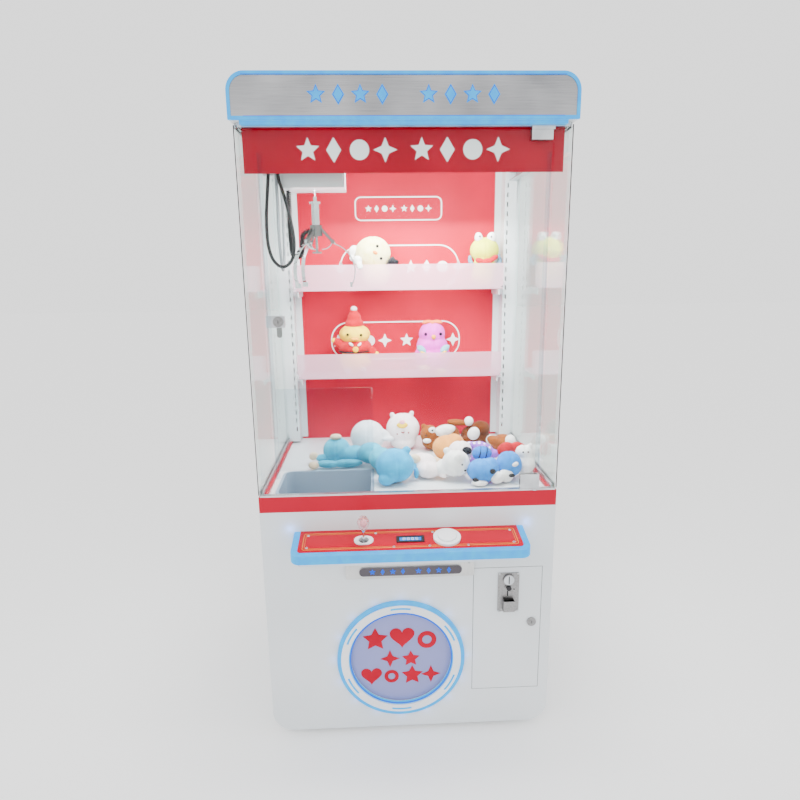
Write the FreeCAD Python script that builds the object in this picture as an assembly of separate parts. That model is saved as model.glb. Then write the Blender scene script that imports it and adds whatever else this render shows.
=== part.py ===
import FreeCAD, Part
import math
import os

# Claw crane machine. Millimetres, +Z up, front towards -Y, origin on the floor at the middle of the
# bounding box. "Depth" below is a distance behind the face of the front panel.

V = FreeCAD.Vector

# ---- driving dimensions: cabinet ----
cabinet_width = 860.0
cabinet_depth = 770.0
foot_height = 20.0
base_height = 731.0
band_height = 47.0
glass_height = 993.0
header_height = 109.0
header_overhang_front = 26.0
header_overhang_side = 6.0
console_reach = 118.0

sheet = 2.0                    # steel sheet
base_corner_r = 63.0           # rounded lower corners of the base
header_corner_r = 45.0
tube = 30.0                    # square tube of the base frame
band_wall = 22.0
glass = 6.0
glass_inset = 4.0              # side glass behind the outer side face
seam = 1.5                     # gap round a flush door
seat_gap = 0.3                 # clearance between pieces on different bodies
pin_gap = 0.05                 # radial clearance of a hinge pin

# ---- driving dimensions: playfield, chute and prize door ----
deck_drop = 8.0                # deck top below the top of the red band
deck_plate = 6.0
chute_left = 24.0              # chute hole from the inner face of the band
chute_width = 276.0
chute_front = 36.0
chute_depth = 200.0
chute_corner_r = 24.0
guard_height = 274.0
guard_thick = 5.0
chute_wall = 1.5
chute_lip = 7.0
guard_gap = 4.0                # guard panels stand this far outside the hole
prize_to_coin = 221.0          # prize hole centre to the left edge of the coin door
prize_z = 264.0
prize_hole_r = 154.0
prize_bezel_w = 29.0
prize_inner_light_w = 6.0
prize_light_w = 12.0
flap_overlap = 4.0
flap_drop = 14.0               # hinge rod above the prize hole
flap_rod_r = 4.0
bin_wall = 1.5
bin_depth = 320.0
bin_floor = 92.0
bin_top = 470.0
bin_side_gap = 2.0             # bin to the base frame's left posts
bin_right_margin = 45.0        # bin past the right edge of the prize hole
ramp_rise = 240.0

# ---- driving dimensions: coin door ----
coin_door_side = 32.0          # right edge of the coin door inside the cabinet's side
coin_door_w = 206.0
coin_door_z = 143.0
coin_door_h = 412.0
coin_plate_w = 64.0
coin_plate_h = 127.0
coin_plate_in = 105.0          # plate centre from the door's left edge
coin_plate_drop = 80.5         # plate centre below the door's top edge
coin_pin_r = 1.5
coin_pin_in = 3.0
pin_reach = 8.0                # of each door pin into the door
reject_r = 7.5
reject_rise = 17.0
lock_r = 9.5
lock_in = 27.0                 # lock from the door's free edge
lock_rise = 229.0              # lock above the door's bottom edge

# ---- driving dimensions: showcase ----
rear_bay = 210.0               # rear uprights' front face to the back of the cabinet
upright_w = 50.0
upright_deep = 66.0
back_panel_t = 3.0
shelf_deep = 74.0              # shelf lip in front of the uprights
shelf_lip_t = 4.0
shelf_t = 4.0
shelf_side = 66.0
shelf_rises = (262.0, 571.0)   # shelf tops above the deck
shelf_lip_h = 88.0
sign_depth = 24.0
sign_t = 3.0
sign_drop = 118.0
sign_side = 16.0
door_side = 52.0
door_top_gap = 20.0
door_bottom_gap = 7.0
pane_depth0 = 2.0
pivot_inset = 13.0
pivot_pin_r = 4.0
patch_h = 42.0
patch_w = 55.0
glass_lock_in = 33.0
glass_lock_rise = 8.0          # lock above the middle of the door

# ---- driving dimensions: gantry and claw ----
claw_depth = 132.0
bar_spread = 40.0              # bridge bars either side of the claw axis
bar_size = 20.0
rail_side = 38.0               # inner face of the side rails inside the cabinet's side
rail_size = 28.0
rail_web = 3.0
rail_drop = 67.0               # rail bottom below the top of the glass
rail_front = 34.0
cover_half_x = 85.0
cover_half_y = 60.0
cover_h = 61.0
cover_drop = 85.0              # cover top below the top of the glass
hoist_cord_r = 1.5
drum_r = 12.0
drum_drop = 26.0               # drum centre below the cover top
claw_gap = 17.0                # claw head below the cover
head_h = 76.0
hub_h = 30.0
hub_r = 17.0
pivot_r = 45.0
pivot_drop = 15.0
finger_pin_r = 2.5
plunger_r = 3.5
plunger_plate_r = 13.0
plunger_drop = 27.0            # plunger plate below the finger pins
cable_r = 4.5
claw_cord_r = 7.0

# ---- driving dimensions: console ----
console_back_drop = 60.0       # back edge of the console top below the top of the base
console_slope_deg = 9.3
console_half_w = 315.0
console_band_w = 18.0
console_band_h = 24.0
console_body_h = 40.0
console_pad = 55.0             # controls sit this far down the console top
console_top_t = 4.0
joystick_x = -132.0
button_x = 104.0
button_r = 27.0
button_bezel_r = 39.0
button_stem_r = 16.0
button_barrel_r = 19.8
stick_hole_r = 16.0
stick_pivot = -24.0            # joystick pivot under the console top
stick_pin_r = 2.0
stick_can_r = 25.0
stick_r = 4.5
knob_r = 17.0
display_half_w = 40.0
display_half_h = 15.0
display_rim = 6.5
badge_w = 380.0
badge_z = 537.0
badge_h = 45.0

# ---- driving dimensions: cash box and mains inlet ----
cash_w = 160.0
cash_front = 70.0
cash_deep = 180.0
cash_h = 150.0
cash_side = 18.0               # cash box to the frame tube beside it
inlet_side = 130.0
inlet_z = 150.0
inlet_half_w = 24.0
inlet_half_h = 30.0
rocker_r = 9.2
foot_inset = 30.0              # foot inside the rounded corner of the base
foot_depth = 90.0

# ---- worked-out planes ----
half_w = cabinet_width / 2
front_y = (console_reach - cabinet_depth) / 2
base_bottom = foot_height
base_top = foot_height + base_height
glass_z0 = base_top + band_height
glass_z1 = glass_z0 + glass_height
top_z = glass_z1 + header_height
deck_z = glass_z0 - deck_drop
console_z = base_top - console_back_drop
foot_x = half_w - base_corner_r - foot_inset

hole_x0 = -half_w + band_wall + chute_left
hole_x1 = hole_x0 + chute_width

coin_x1 = half_w - coin_door_side
coin_door_x = coin_x1 - coin_door_w
coin_z1 = coin_door_z + coin_door_h
coin_plate_x = coin_door_x + coin_plate_in
coin_plate_z = coin_z1 - coin_plate_drop
coin_pivot_x = coin_door_x + coin_pin_in
coin_lock_x = coin_x1 - lock_in
coin_lock_z = coin_door_z + lock_rise
reject_z = coin_plate_z + reject_rise

prize_x = coin_door_x - prize_to_coin
prize_ring_r = prize_hole_r + prize_bezel_w
flap_r = prize_hole_r + flap_overlap
flap_rod_z = prize_z + prize_hole_r + flap_drop
flap_rod_half = flap_r - 74
bin_x0 = -half_w + sheet + tube + bin_side_gap
bin_x1 = prize_x + prize_hole_r + bin_right_margin

upright_depth = cabinet_depth - rear_bay
back_panel_depth = upright_depth + upright_deep
shelf_front = upright_depth - shelf_deep
shelf_half_w = half_w - shelf_side
shelf_heights = [deck_z + rise for rise in shelf_rises]
sign_half_w = half_w - sign_side
door_half_w = half_w - door_side
door_z0 = glass_z0 + door_bottom_gap
door_z1 = glass_z1 - door_top_gap
pane_depth1 = pane_depth0 + glass
pivot_x = door_half_w - pivot_inset
glass_lock_x = -door_half_w + glass_lock_in
glass_lock_z = (door_z0 + door_z1) / 2 + glass_lock_rise
side_x0 = half_w - glass_inset - glass
side_x1 = half_w - glass_inset

rail_x = half_w - rail_side
rail_z = glass_z1 - rail_drop
rail_out = rail_x + rail_size - 4
bar_z0 = rail_z + 4
bar_z1 = bar_z0 + bar_size
cable_tab_z = rail_z - 10      # cable clip on the bridge
rail_tab_z = rail_z - 24       # lower cable clip on the left rail
cover_top = glass_z1 - cover_drop
cover_bottom = cover_top - cover_h
drum_z = cover_top - drum_drop
claw_top = cover_bottom - claw_gap
hub_top = claw_top - head_h
hub_bottom = hub_top - hub_h
pivot_z = hub_bottom - pivot_drop
plunger_plate_z = pivot_z - plunger_drop
claw_x = (hole_x0 + hole_x1) / 2
drum_x = claw_x - hoist_cord_r - seat_gap - drum_r

cash_x1 = half_w - sheet - tube - cash_side
cash_x0 = cash_x1 - cash_w
cash_depth1 = cash_front + cash_deep
inlet_x = -half_w + inlet_side
rocker_z = inlet_z + 14


def at(depth):
    """Y of a plane that lies this far behind the front face."""
    return front_y + depth


claw_y = at(claw_depth)
hole_y0 = at(chute_front)
hole_y1 = at(chute_front + chute_depth)
flap_rod_y = at(flap_drop)
coin_pivot_y = at(coin_pin_in)
pivot_y = at((pane_depth0 + pane_depth1) / 2)
rocker_y = at(cabinet_depth - 8)


# ---- shape helpers ----
def box(x0, x1, y0, y1, z0, z1):
    return Part.makeBox(x1 - x0, y1 - y0, z1 - z0, V(x0, y0, z0))


def rod(radius, start, end):
    start, end = V(*start), V(*end)
    return Part.makeCylinder(radius, (end - start).Length, start, end - start)


def ball(radius, centre):
    return Part.makeSphere(radius, V(*centre))


def rect(u0, u1, v0, v1, low_r=0.0, high_r=0.0):
    """Corners (u, v, radius) of a rectangle, with one radius below and one above."""
    return [(u0, v0, low_r), (u1, v0, low_r), (u1, v1, high_r), (u0, v1, high_r)]


def outline(corners, place):
    """Closed wire with a tangent arc at each corner that has a radius."""
    ends = []
    for i, (u, v, radius) in enumerate(corners):
        here = V(u, v, 0)
        if radius <= 0:
            ends.append((here, here, here))
            continue
        before = V(*corners[i - 1][:2], 0) - here
        after = V(*corners[(i + 1) % len(corners)][:2], 0) - here
        before.normalize()
        after.normalize()
        half = before.getAngle(after) / 2
        inward = before + after
        inward.normalize()
        centre = here + inward * (radius / math.sin(half))
        reach = radius / math.tan(half)
        ends.append((here + before * reach, centre - inward * radius, here + after * reach))
    edges = []
    for i, (start, middle, end) in enumerate(ends):
        if start.distanceToPoint(end) > 1e-6:
            edges.append(Part.Arc(place(start), place(middle), place(end)).toShape())
        following = ends[(i + 1) % len(ends)][0]
        if end.distanceToPoint(following) > 1e-6:
            edges.append(Part.LineSegment(place(end), place(following)).toShape())
    return Part.Wire(edges)


def prism_y(corners, y0, y1):
    """Outline in X and Z, drawn out along Y."""
    return Part.Face(outline(corners, lambda p: V(p.x, y0, p.y))).extrude(V(0, y1 - y0, 0))


def prism_x(corners, x0, x1):
    """Outline in Y and Z, drawn out along X."""
    return Part.Face(outline(corners, lambda p: V(x0, p.x, p.y))).extrude(V(x1 - x0, 0, 0))


def prism_z(corners, z0, z1):
    """Outline in X and Y, drawn out along Z."""
    return Part.Face(outline(corners, lambda p: V(p.x, p.y, z0))).extrude(V(0, 0, z1 - z0))


def fuse(shapes):
    solid = shapes[0].multiFuse(shapes[1:]) if len(shapes) > 1 else shapes[0]
    return solid.removeSplitter()


def cut(shape, tools):
    for tool in tools:
        shape = shape.cut(tool)
    return shape


def mirrored(shape):
    """The shape's twin on the other side of the middle plane."""
    return shape.mirror(V(0, 0, 0), V(1, 0, 0))


def turned(shape, degrees, centre=(0, 0, 0), axis=(0, 0, 1)):
    copy = shape.copy()
    copy.rotate(V(*centre), V(*axis), degrees)
    return copy


def star(points, outer, inner, x, z, y0, y1, phase=90.0):
    """Star in X and Z, drawn out along Y."""
    corners = []
    for i in range(2 * points):
        angle = math.radians(phase + 180.0 * i / points)
        radius = inner if i % 2 else outer
        corners.append((x + radius * math.cos(angle), z + radius * math.sin(angle), 0))
    return prism_y(corners, y0, y1)


def ring_y(outer, inner, x, z, y0, y1):
    whole = rod(outer, (x, y0, z), (x, y1, z))
    return whole.cut(rod(inner, (x, y0 - 1, z), (x, y1 + 1, z)))


def cord_tube(name, points, radius):
    """Round tube along straight runs joined by tangent arcs, each as large as its runs allow."""
    points = [V(*p) for p in points]
    edges = []
    here = points[0]
    radii = []
    for before, corner, after in zip(points, points[1:], points[2:]):
        back = before - corner
        on = after - corner
        reach = 0.45 * min(back.Length, on.Length)
        back.normalize()
        on.normalize()
        half = back.getAngle(on) / 2
        radii.append(reach * math.tan(half))
        inward = back + on
        inward.normalize()
        centre = corner + inward * (reach / math.cos(half))
        start = corner + back * reach
        edges.append(Part.LineSegment(here, start).toShape())
        edges.append(Part.Arc(start, centre - inward * radii[-1], corner + on * reach).toShape())
        here = corner + on * reach
    edges.append(Part.LineSegment(here, points[-1]).toShape())
    path = Part.Wire(edges)
    section = Part.Wire(Part.makeCircle(radius, points[0], points[1] - points[0]))
    tube_solid = path.makePipeShell([section], True, False)
    true_volume = math.pi * radius ** 2 * path.Length
    print(name, "length", round(path.Length, 1), "least radius", round(min(radii), 1),
          "volume ratio", round(tube_solid.Volume / true_volume, 4))
    return tube_solid


nodes = {}


# ---- base ----
def make_base():
    outer = rect(-half_w, half_w, base_bottom, base_top, low_r=base_corner_r)
    inner = rect(-half_w + sheet, half_w - sheet, base_bottom + sheet, base_top + 1,
                 low_r=base_corner_r - sheet)
    wrap = prism_y(outer, at(sheet), at(cabinet_depth - sheet))
    wrap = wrap.cut(prism_y(inner, at(0), at(cabinet_depth)))
    foot_spots = []
    for x in (-1, 1):
        for depth in (foot_depth, cabinet_depth - foot_depth):
            foot_spots.append((x * foot_x, at(depth)))
    stud_r = 5.0
    stud_hole_r = stud_r + 0.5
    for x, y in foot_spots:
        wrap = wrap.cut(rod(stud_hole_r, (x, y, base_bottom - 1), (x, y, base_bottom + sheet + 1)))
    nodes["base_wrap"] = wrap

    feet = []
    for x, y in foot_spots:
        pad = rod(20.0, (x, y, 0), (x, y, 10))
        collar = rod(11.0, (x, y, 10), (x, y, base_bottom))
        stud = rod(stud_r, (x, y, base_bottom), (x, y, base_bottom + 26))
        nut = rod(10.0, (x, y, base_bottom + sheet), (x, y, base_bottom + sheet + 8))
        feet.append(fuse([pad, collar, stud, nut]))
    nodes["levelling_feet"] = Part.makeCompound(feet)

    front = prism_y(outer, at(0), at(sheet))
    front = front.cut(rod(prize_hole_r, (prize_x, at(-1), prize_z), (prize_x, at(sheet + 1), prize_z)))
    front = front.cut(box(coin_door_x - seam, coin_door_x + coin_door_w + seam, at(-1), at(sheet + 1),
                          coin_door_z - seam, coin_door_z + coin_door_h + seam))
    nodes["front_panel"] = front

    rear = prism_y(rect(-half_w, half_w, base_bottom, glass_z1, low_r=base_corner_r),
                   at(cabinet_depth - sheet), at(cabinet_depth))
    slots = []
    slot_half_w, slot_pitch, slot_count = 60.0, 14.0, 9
    slot_x = 190.0
    for side in (-1, 1):
        for i in range(slot_count):
            z = base_top - 120 - i * slot_pitch
            slot = rect(side * slot_x - slot_half_w, side * slot_x + slot_half_w, z - 3, z + 3, 2.9, 2.9)
            slots.append(prism_y(slot, at(cabinet_depth - sheet - 1), at(cabinet_depth + 1)))
    slots.append(box(inlet_x - inlet_half_w, inlet_x + inlet_half_w, at(cabinet_depth - sheet - 1),
                     at(cabinet_depth + 1), inlet_z - inlet_half_h, inlet_z + inlet_half_h))
    nodes["rear_panel"] = cut(rear, slots)

    low = base_bottom + base_corner_r
    inside = half_w - sheet
    depth0, depth1 = sheet, cabinet_depth - sheet
    post_front = 40.0
    parts = [box(-inside, inside, at(depth0), at(depth0 + tube), base_top - tube, base_top),
             box(-inside, inside, at(depth1 - tube), at(depth1), base_top - tube, base_top),
             box(-inside, inside, at(depth1 - tube), at(depth1), low, low + tube)]
    for side in (-1, 1):
        x0, x1 = sorted((side * inside, side * (inside - tube)))
        parts.append(box(x0, x1, at(depth0), at(depth1), base_top - tube, base_top))
        parts.append(box(x0, x1, at(post_front), at(depth1), low, low + tube))
        for depth in (post_front, depth1 - tube):
            parts.append(box(x0, x1, at(depth), at(depth + tube), low, base_top))
    cash_shelf = box(cash_x0 - 12, inside - tube + 1, at(cash_front - 8), at(cash_depth1 + 8),
                     low + tube - 3, low + tube)
    parts.append(cash_shelf)
    parts.append(box(cash_x0 - 12, cash_x0 - 9, at(cash_front - 8), at(cash_depth1 + 8),
                     base_bottom + sheet, low + tube))
    nodes["base_frame"] = fuse(parts)


# ---- waist, deck, chute, guard, prize bin ----
def chute_outline(grow):
    """Chute hole with rounded left corners."""
    return [(hole_x0 - grow, hole_y0 - grow, chute_corner_r + grow), (hole_x1 + grow, hole_y0 - grow, 0),
            (hole_x1 + grow, hole_y1 + grow, 0), (hole_x0 - grow, hole_y1 + grow, chute_corner_r + grow)]


def make_waist():
    ring = box(-half_w, half_w, at(0), at(cabinet_depth - sheet), base_top, glass_z0)
    hollow = box(-half_w + band_wall, half_w - band_wall, at(band_wall), at(cabinet_depth - band_wall),
                 base_top - 1, glass_z0 + 1)
    nodes["waist_band"] = ring.cut(hollow)

    x1 = half_w - band_wall
    y0, y1 = at(band_wall), at(cabinet_depth - band_wall)
    flange = 4.0
    tray = box(-x1, x1, y0, y1, base_top, deck_z)
    tray = tray.cut(box(-x1 + flange, x1 - flange, y0 + flange, y1 - flange,
                        base_top - 1, deck_z - deck_plate))
    nodes["playfield_deck"] = tray.cut(prism_z(chute_outline(0), base_top - 1, deck_z + 1))

    lip_top = deck_z + chute_wall
    duct = prism_z(chute_outline(0), bin_top - bin_wall, lip_top)
    duct = duct.fuse(prism_z(chute_outline(chute_lip), deck_z, lip_top))
    duct = duct.cut(prism_z(chute_outline(-chute_wall), bin_top - bin_wall - 1, lip_top + 1))
    nodes["chute_duct"] = duct

    side_x = hole_x1 + guard_gap
    back_y = hole_y1 + guard_gap
    guard_top = deck_z + guard_height
    side = box(side_x, side_x + guard_thick, at(sign_depth + 6), back_y + guard_thick, lip_top, guard_top)
    back = box(-half_w + band_wall + 1, side_x, back_y, back_y + guard_thick, lip_top, guard_top)
    nodes["chute_guard"] = Part.makeCompound([side, back])


def make_prize_bin():
    y0, y1 = at(sheet), at(bin_depth)
    whole = box(bin_x0, bin_x1, y0, y1, bin_floor, bin_top)
    hollow = box(bin_x0 + bin_wall, bin_x1 - bin_wall, y0 - 1, y1 - bin_wall,
                 bin_floor + bin_wall, bin_top - bin_wall)
    shell = whole.cut(hollow)
    shell = shell.cut(prism_z(chute_outline(0), bin_top - bin_wall - 1, bin_top + 1))
    slope_foot = prize_x - prize_hole_r - 12
    slope_top = bin_floor + ramp_rise
    ramp = [(bin_x0 + bin_wall / 2, slope_top, 0), (slope_foot, bin_floor + bin_wall / 2, 0),
            (slope_foot + 3, bin_floor + bin_wall / 2, 0), (bin_x0 + bin_wall / 2, slope_top + 3, 0)]
    shell = shell.fuse(prism_y(ramp, y0, y1 - bin_wall / 2))
    nodes["prize_bin"] = shell.removeSplitter()

    inner_light_r = prize_hole_r + prize_inner_light_w
    ring = ring_y(prize_ring_r, inner_light_r, prize_x, prize_z, at(-12), at(0))
    slot_span = 20.0
    slot_in, slot_out = prize_ring_r - 13.0, prize_ring_r - 7.0
    lenses = []
    for i in range(6):
        start = 30.0 + 60.0 * i - slot_span / 2
        ring = ring.cut(arc_strip_y(slot_in, slot_out, start, slot_span, at(-13), at(-9)))
        lenses.append(arc_strip_y(slot_in, slot_out, start, slot_span, at(-12), at(-9)))
    nodes["prize_ring"] = ring
    outer_light = ring_y(prize_ring_r + prize_light_w, prize_ring_r, prize_x, prize_z, at(-9), at(0))
    inner_light = ring_y(inner_light_r, prize_hole_r, prize_x, prize_z, at(-8), at(0))
    nodes["prize_ring_lights"] = Part.makeCompound([outer_light, inner_light] + lenses)


def arc_strip_y(inner, outer, start_deg, span_deg, y0, y1):
    """Part of a flat ring round the prize door."""
    sweep = Part.makeCylinder(outer, y1 - y0, V(0, 0, 0), V(0, 0, 1), span_deg)
    sweep = sweep.cut(Part.makeCylinder(inner, y1 - y0, V(0, 0, 0), V(0, 0, 1)))
    sweep.rotate(V(0, 0, 0), V(0, 0, 1), start_deg)
    sweep.rotate(V(0, 0, 0), V(1, 0, 0), 90)
    sweep.translate(V(prize_x, y1, prize_z))
    return sweep


def make_flap():
    """Plate behind the front panel, hung from a rod above the hole."""
    y0, y1 = at(sheet + 2), at(sheet + 6)
    parts = [rod(flap_r, (prize_x, y0, prize_z), (prize_x, y1, prize_z))]
    ear = 14.0
    for side in (-1, 1):
        x0 = prize_x + side * (flap_rod_half - 35) - ear
        x1 = x0 + 2 * ear
        parts.append(rod(flap_rod_r + 3, (x0, flap_rod_y, flap_rod_z), (x1, flap_rod_y, flap_rod_z)))
        parts.append(box(x0, x1, y0, y1, prize_z + flap_r - 40, flap_rod_z - 1))
        parts.append(box(x0, x1, y0, flap_rod_y, flap_rod_z - 4, flap_rod_z))
    bore = rod(flap_rod_r + pin_gap, (prize_x - flap_r, flap_rod_y, flap_rod_z),
               (prize_x + flap_r, flap_rod_y, flap_rod_z))
    nodes["prize_flap"] = fuse(parts).cut(bore)


# ---- coin door ----
def make_coin_door():
    flange = 12.0
    y0 = at(0)
    plate = box(coin_door_x, coin_x1, y0, at(sheet), coin_door_z, coin_z1)
    top = box(coin_door_x, coin_x1, at(sheet), at(sheet + flange), coin_z1 - sheet, coin_z1)
    bottom = box(coin_door_x, coin_x1, at(sheet), at(sheet + flange), coin_door_z, coin_door_z + sheet)
    right = box(coin_x1 - sheet, coin_x1, at(sheet), at(sheet + flange), coin_door_z, coin_z1)
    door = fuse([plate, top, bottom, right])
    for z0, z1 in ((coin_door_z - 1, coin_door_z + pin_reach + 1), (coin_z1 - pin_reach - 1, coin_z1 + 1)):
        door = door.cut(rod(coin_pin_r + pin_gap, (coin_pivot_x, coin_pivot_y, z0),
                            (coin_pivot_x, coin_pivot_y, z1)))
    plate_rim = 4.0
    half_body = coin_plate_w / 2 - plate_rim
    body_z0 = coin_plate_z - coin_plate_h / 2 + plate_rim
    body_z1 = coin_plate_z + coin_plate_h / 2 - plate_rim
    body_x0, body_x1 = coin_plate_x - half_body, coin_plate_x + half_body
    door = door.cut(box(body_x0, body_x1, at(-1), at(sheet + 1), body_z0, body_z1))
    lock_hole = rod(lock_r, (coin_lock_x, at(-1), coin_lock_z), (coin_lock_x, at(sheet + 1), coin_lock_z))
    door = door.cut(lock_hole)
    cam_notch = box(coin_x1 - sheet - 1, coin_x1 + 1, at(sheet), at(sheet + flange + 1),
                    coin_lock_z - 22, coin_lock_z + 22)
    nodes["coin_door"] = door.cut(cam_notch)

    face = prism_y(rect(body_x0 - plate_rim, body_x1 + plate_rim,
                        body_z0 - plate_rim, body_z1 + plate_rim, 4, 4), at(-3), at(0))
    entry_z = coin_plate_z + 43
    entry = rod(17, (coin_plate_x, at(-9), entry_z), (coin_plate_x, at(-3), entry_z))
    slot = box(coin_plate_x - 1.6, coin_plate_x + 1.6, at(-12), at(20), entry_z - 14, entry_z + 14)
    body = box(body_x0, body_x1, at(0), at(60), body_z0, body_z1)
    cup_z = coin_plate_z - 36
    cup = box(coin_plate_x - 17, coin_plate_x + 17, at(-20), at(-3), cup_z - 20, cup_z + 14)
    cup_hollow = box(coin_plate_x - 15, coin_plate_x + 15, at(-18), at(0), cup_z - 18, cup_z + 15)
    pocket = box(coin_plate_x - 15, coin_plate_x + 15, at(-4), at(24), cup_z - 18, cup_z + 10)
    guide = rod(11, (coin_plate_x, at(-6), reject_z), (coin_plate_x, at(-3), reject_z))
    mech = fuse([face, entry, body, cup.cut(cup_hollow), guide])
    mech = cut(mech, [slot, pocket, rod(reject_r + seat_gap, (coin_plate_x, at(-30), reject_z),
                                        (coin_plate_x, at(16), reject_z))])
    nodes["coin_mechanism"] = mech

    nodes["coin_reject_button"] = fuse([
        rod(reject_r, (coin_plate_x, at(-13), reject_z), (coin_plate_x, at(8), reject_z)),
        rod(reject_r - 3, (coin_plate_x, at(8), reject_z), (coin_plate_x, at(10), reject_z))])
    nodes["coin_lock_core"] = make_lock(coin_lock_x, coin_lock_z, 0.0, sheet, 32.0, 2.5)


def make_lock(x, z, face_depth, wall, cam_length, cam_gap):
    """Cam lock: head in front, barrel through the wall, and a cam that hangs down when unlocked."""
    y_face = at(face_depth)
    y_back = at(face_depth + wall)
    head = ring_y(14.0, 5.0, x, z, y_face - 4, y_face - seat_gap)
    plug = rod(6.5, (x, y_face - 5, z), (x, y_face - 1, z))
    cam_y = y_back + cam_gap
    barrel = rod(lock_r - pin_gap, (x, y_face - 1, z), (x, cam_y, z))
    cam = prism_y(rect(x - 7, x + 7, z - cam_length, z + 8, 6, 6), cam_y, cam_y + 2.5)
    keyway = box(x - 1, x + 1, y_face - 6, y_face - 2, z - 4, z + 4)
    return fuse([head, plug, barrel, cam]).cut(keyway)


# ---- showcase ----
def make_showcase():
    strip_x0 = door_half_w + 4
    bar_depth = 14.0
    sill_h = 5.0
    head_h = 12.0
    channel_h = 14.0
    groove_gap = 0.2
    sill_parts = [box(-side_x1, side_x1, at(0), at(bar_depth), glass_z0, glass_z0 + sill_h)]
    top_parts = [box(-side_x0, side_x0, at(0), at(bar_depth), glass_z1 - head_h, glass_z1)]
    grooves = []
    panes = []
    for side in (-1, 1):
        x0, x1 = sorted((side * (side_x0 - 4), side * half_w))
        sill_parts.append(box(x0, x1, at(bar_depth), at(upright_depth), glass_z0, glass_z0 + channel_h))
        top_parts.append(box(x0, x1, at(bar_depth), at(upright_depth), glass_z1 - channel_h, glass_z1))
        g0, g1 = sorted((side * (side_x0 - groove_gap), side * (side_x1 + groove_gap)))
        grooves.append(box(g0, g1, at(bar_depth - 1), at(upright_depth + 1),
                           glass_z0 + sill_h, glass_z1 - sill_h))
        s0, s1 = sorted((side * side_x0, side * side_x1))
        panes.append(box(s0, s1, at(pane_depth1), at(upright_depth),
                         glass_z0 + sill_h, glass_z1 - sill_h))
        c0, c1 = sorted((side * strip_x0, side * side_x1))
        panes.append(box(c0, c1, at(pane_depth0), at(pane_depth1),
                         glass_z0 + sill_h, glass_z1 - head_h))
    nodes["fixed_glass"] = Part.makeCompound(panes)

    axis = (pivot_x, pivot_y)
    pin_in = 6.0
    sill = cut(fuse(sill_parts), grooves)
    low_pin = rod(pivot_pin_r, (*axis, glass_z0), (*axis, door_z0 + pin_in))
    washer = rod(9, (*axis, glass_z0), (*axis, door_z0 - seat_gap))
    top = cut(fuse(top_parts), grooves)
    top_pin = rod(pivot_pin_r, (*axis, door_z1 - pin_in), (*axis, glass_z1))
    patch_x1 = door_half_w - 1
    patch_x0 = patch_x1 - patch_w
    top_block = box(patch_x0, patch_x1 + 4, at(pane_depth0 - 6), at(pane_depth1 + 4),
                    door_z1 + seat_gap, glass_z1)
    nodes["glass_frame"] = Part.makeCompound([fuse([sill, washer, low_pin]),
                                              fuse([top, top_block, top_pin])])

    notch_h = 10.0
    pane = box(-door_half_w, door_half_w, at(pane_depth0), at(pane_depth1), door_z0, door_z1)
    for z0, z1 in ((door_z0 - 1, door_z0 + notch_h), (door_z1 - notch_h, door_z1 + 1)):
        pane = pane.cut(box(patch_x0 + 4, door_half_w + 1, at(0), at(20), z0, z1))
    lock_hole = rod(lock_r, (glass_lock_x, at(-9), glass_lock_z), (glass_lock_x, at(20), glass_lock_z))
    nodes["glass_door"] = pane.cut(lock_hole)

    hardware = []
    for z0, z1 in ((door_z0, door_z0 + patch_h), (door_z1 - patch_h + 18, door_z1)):
        block = box(patch_x0, patch_x1, at(pane_depth0 - 5), at(pane_depth1 + 4), z0, z1)
        bore = rod(pivot_pin_r + pin_gap, (*axis, z0 - 1), (*axis, z1 + 1))
        hardware.append(cut(block, [pane, bore]))
    lock_plate = box(glass_lock_x - 33, glass_lock_x + 18, at(pane_depth0 - 3), at(pane_depth0),
                     glass_lock_z - 16, glass_lock_z + 16)
    hardware.append(lock_plate.cut(lock_hole))
    nodes["door_hardware"] = Part.makeCompound(hardware)
    nodes["glass_lock_core"] = make_lock(glass_lock_x, glass_lock_z, pane_depth0 - 3, glass + 3,
                                         44.0, 1.0)


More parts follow.
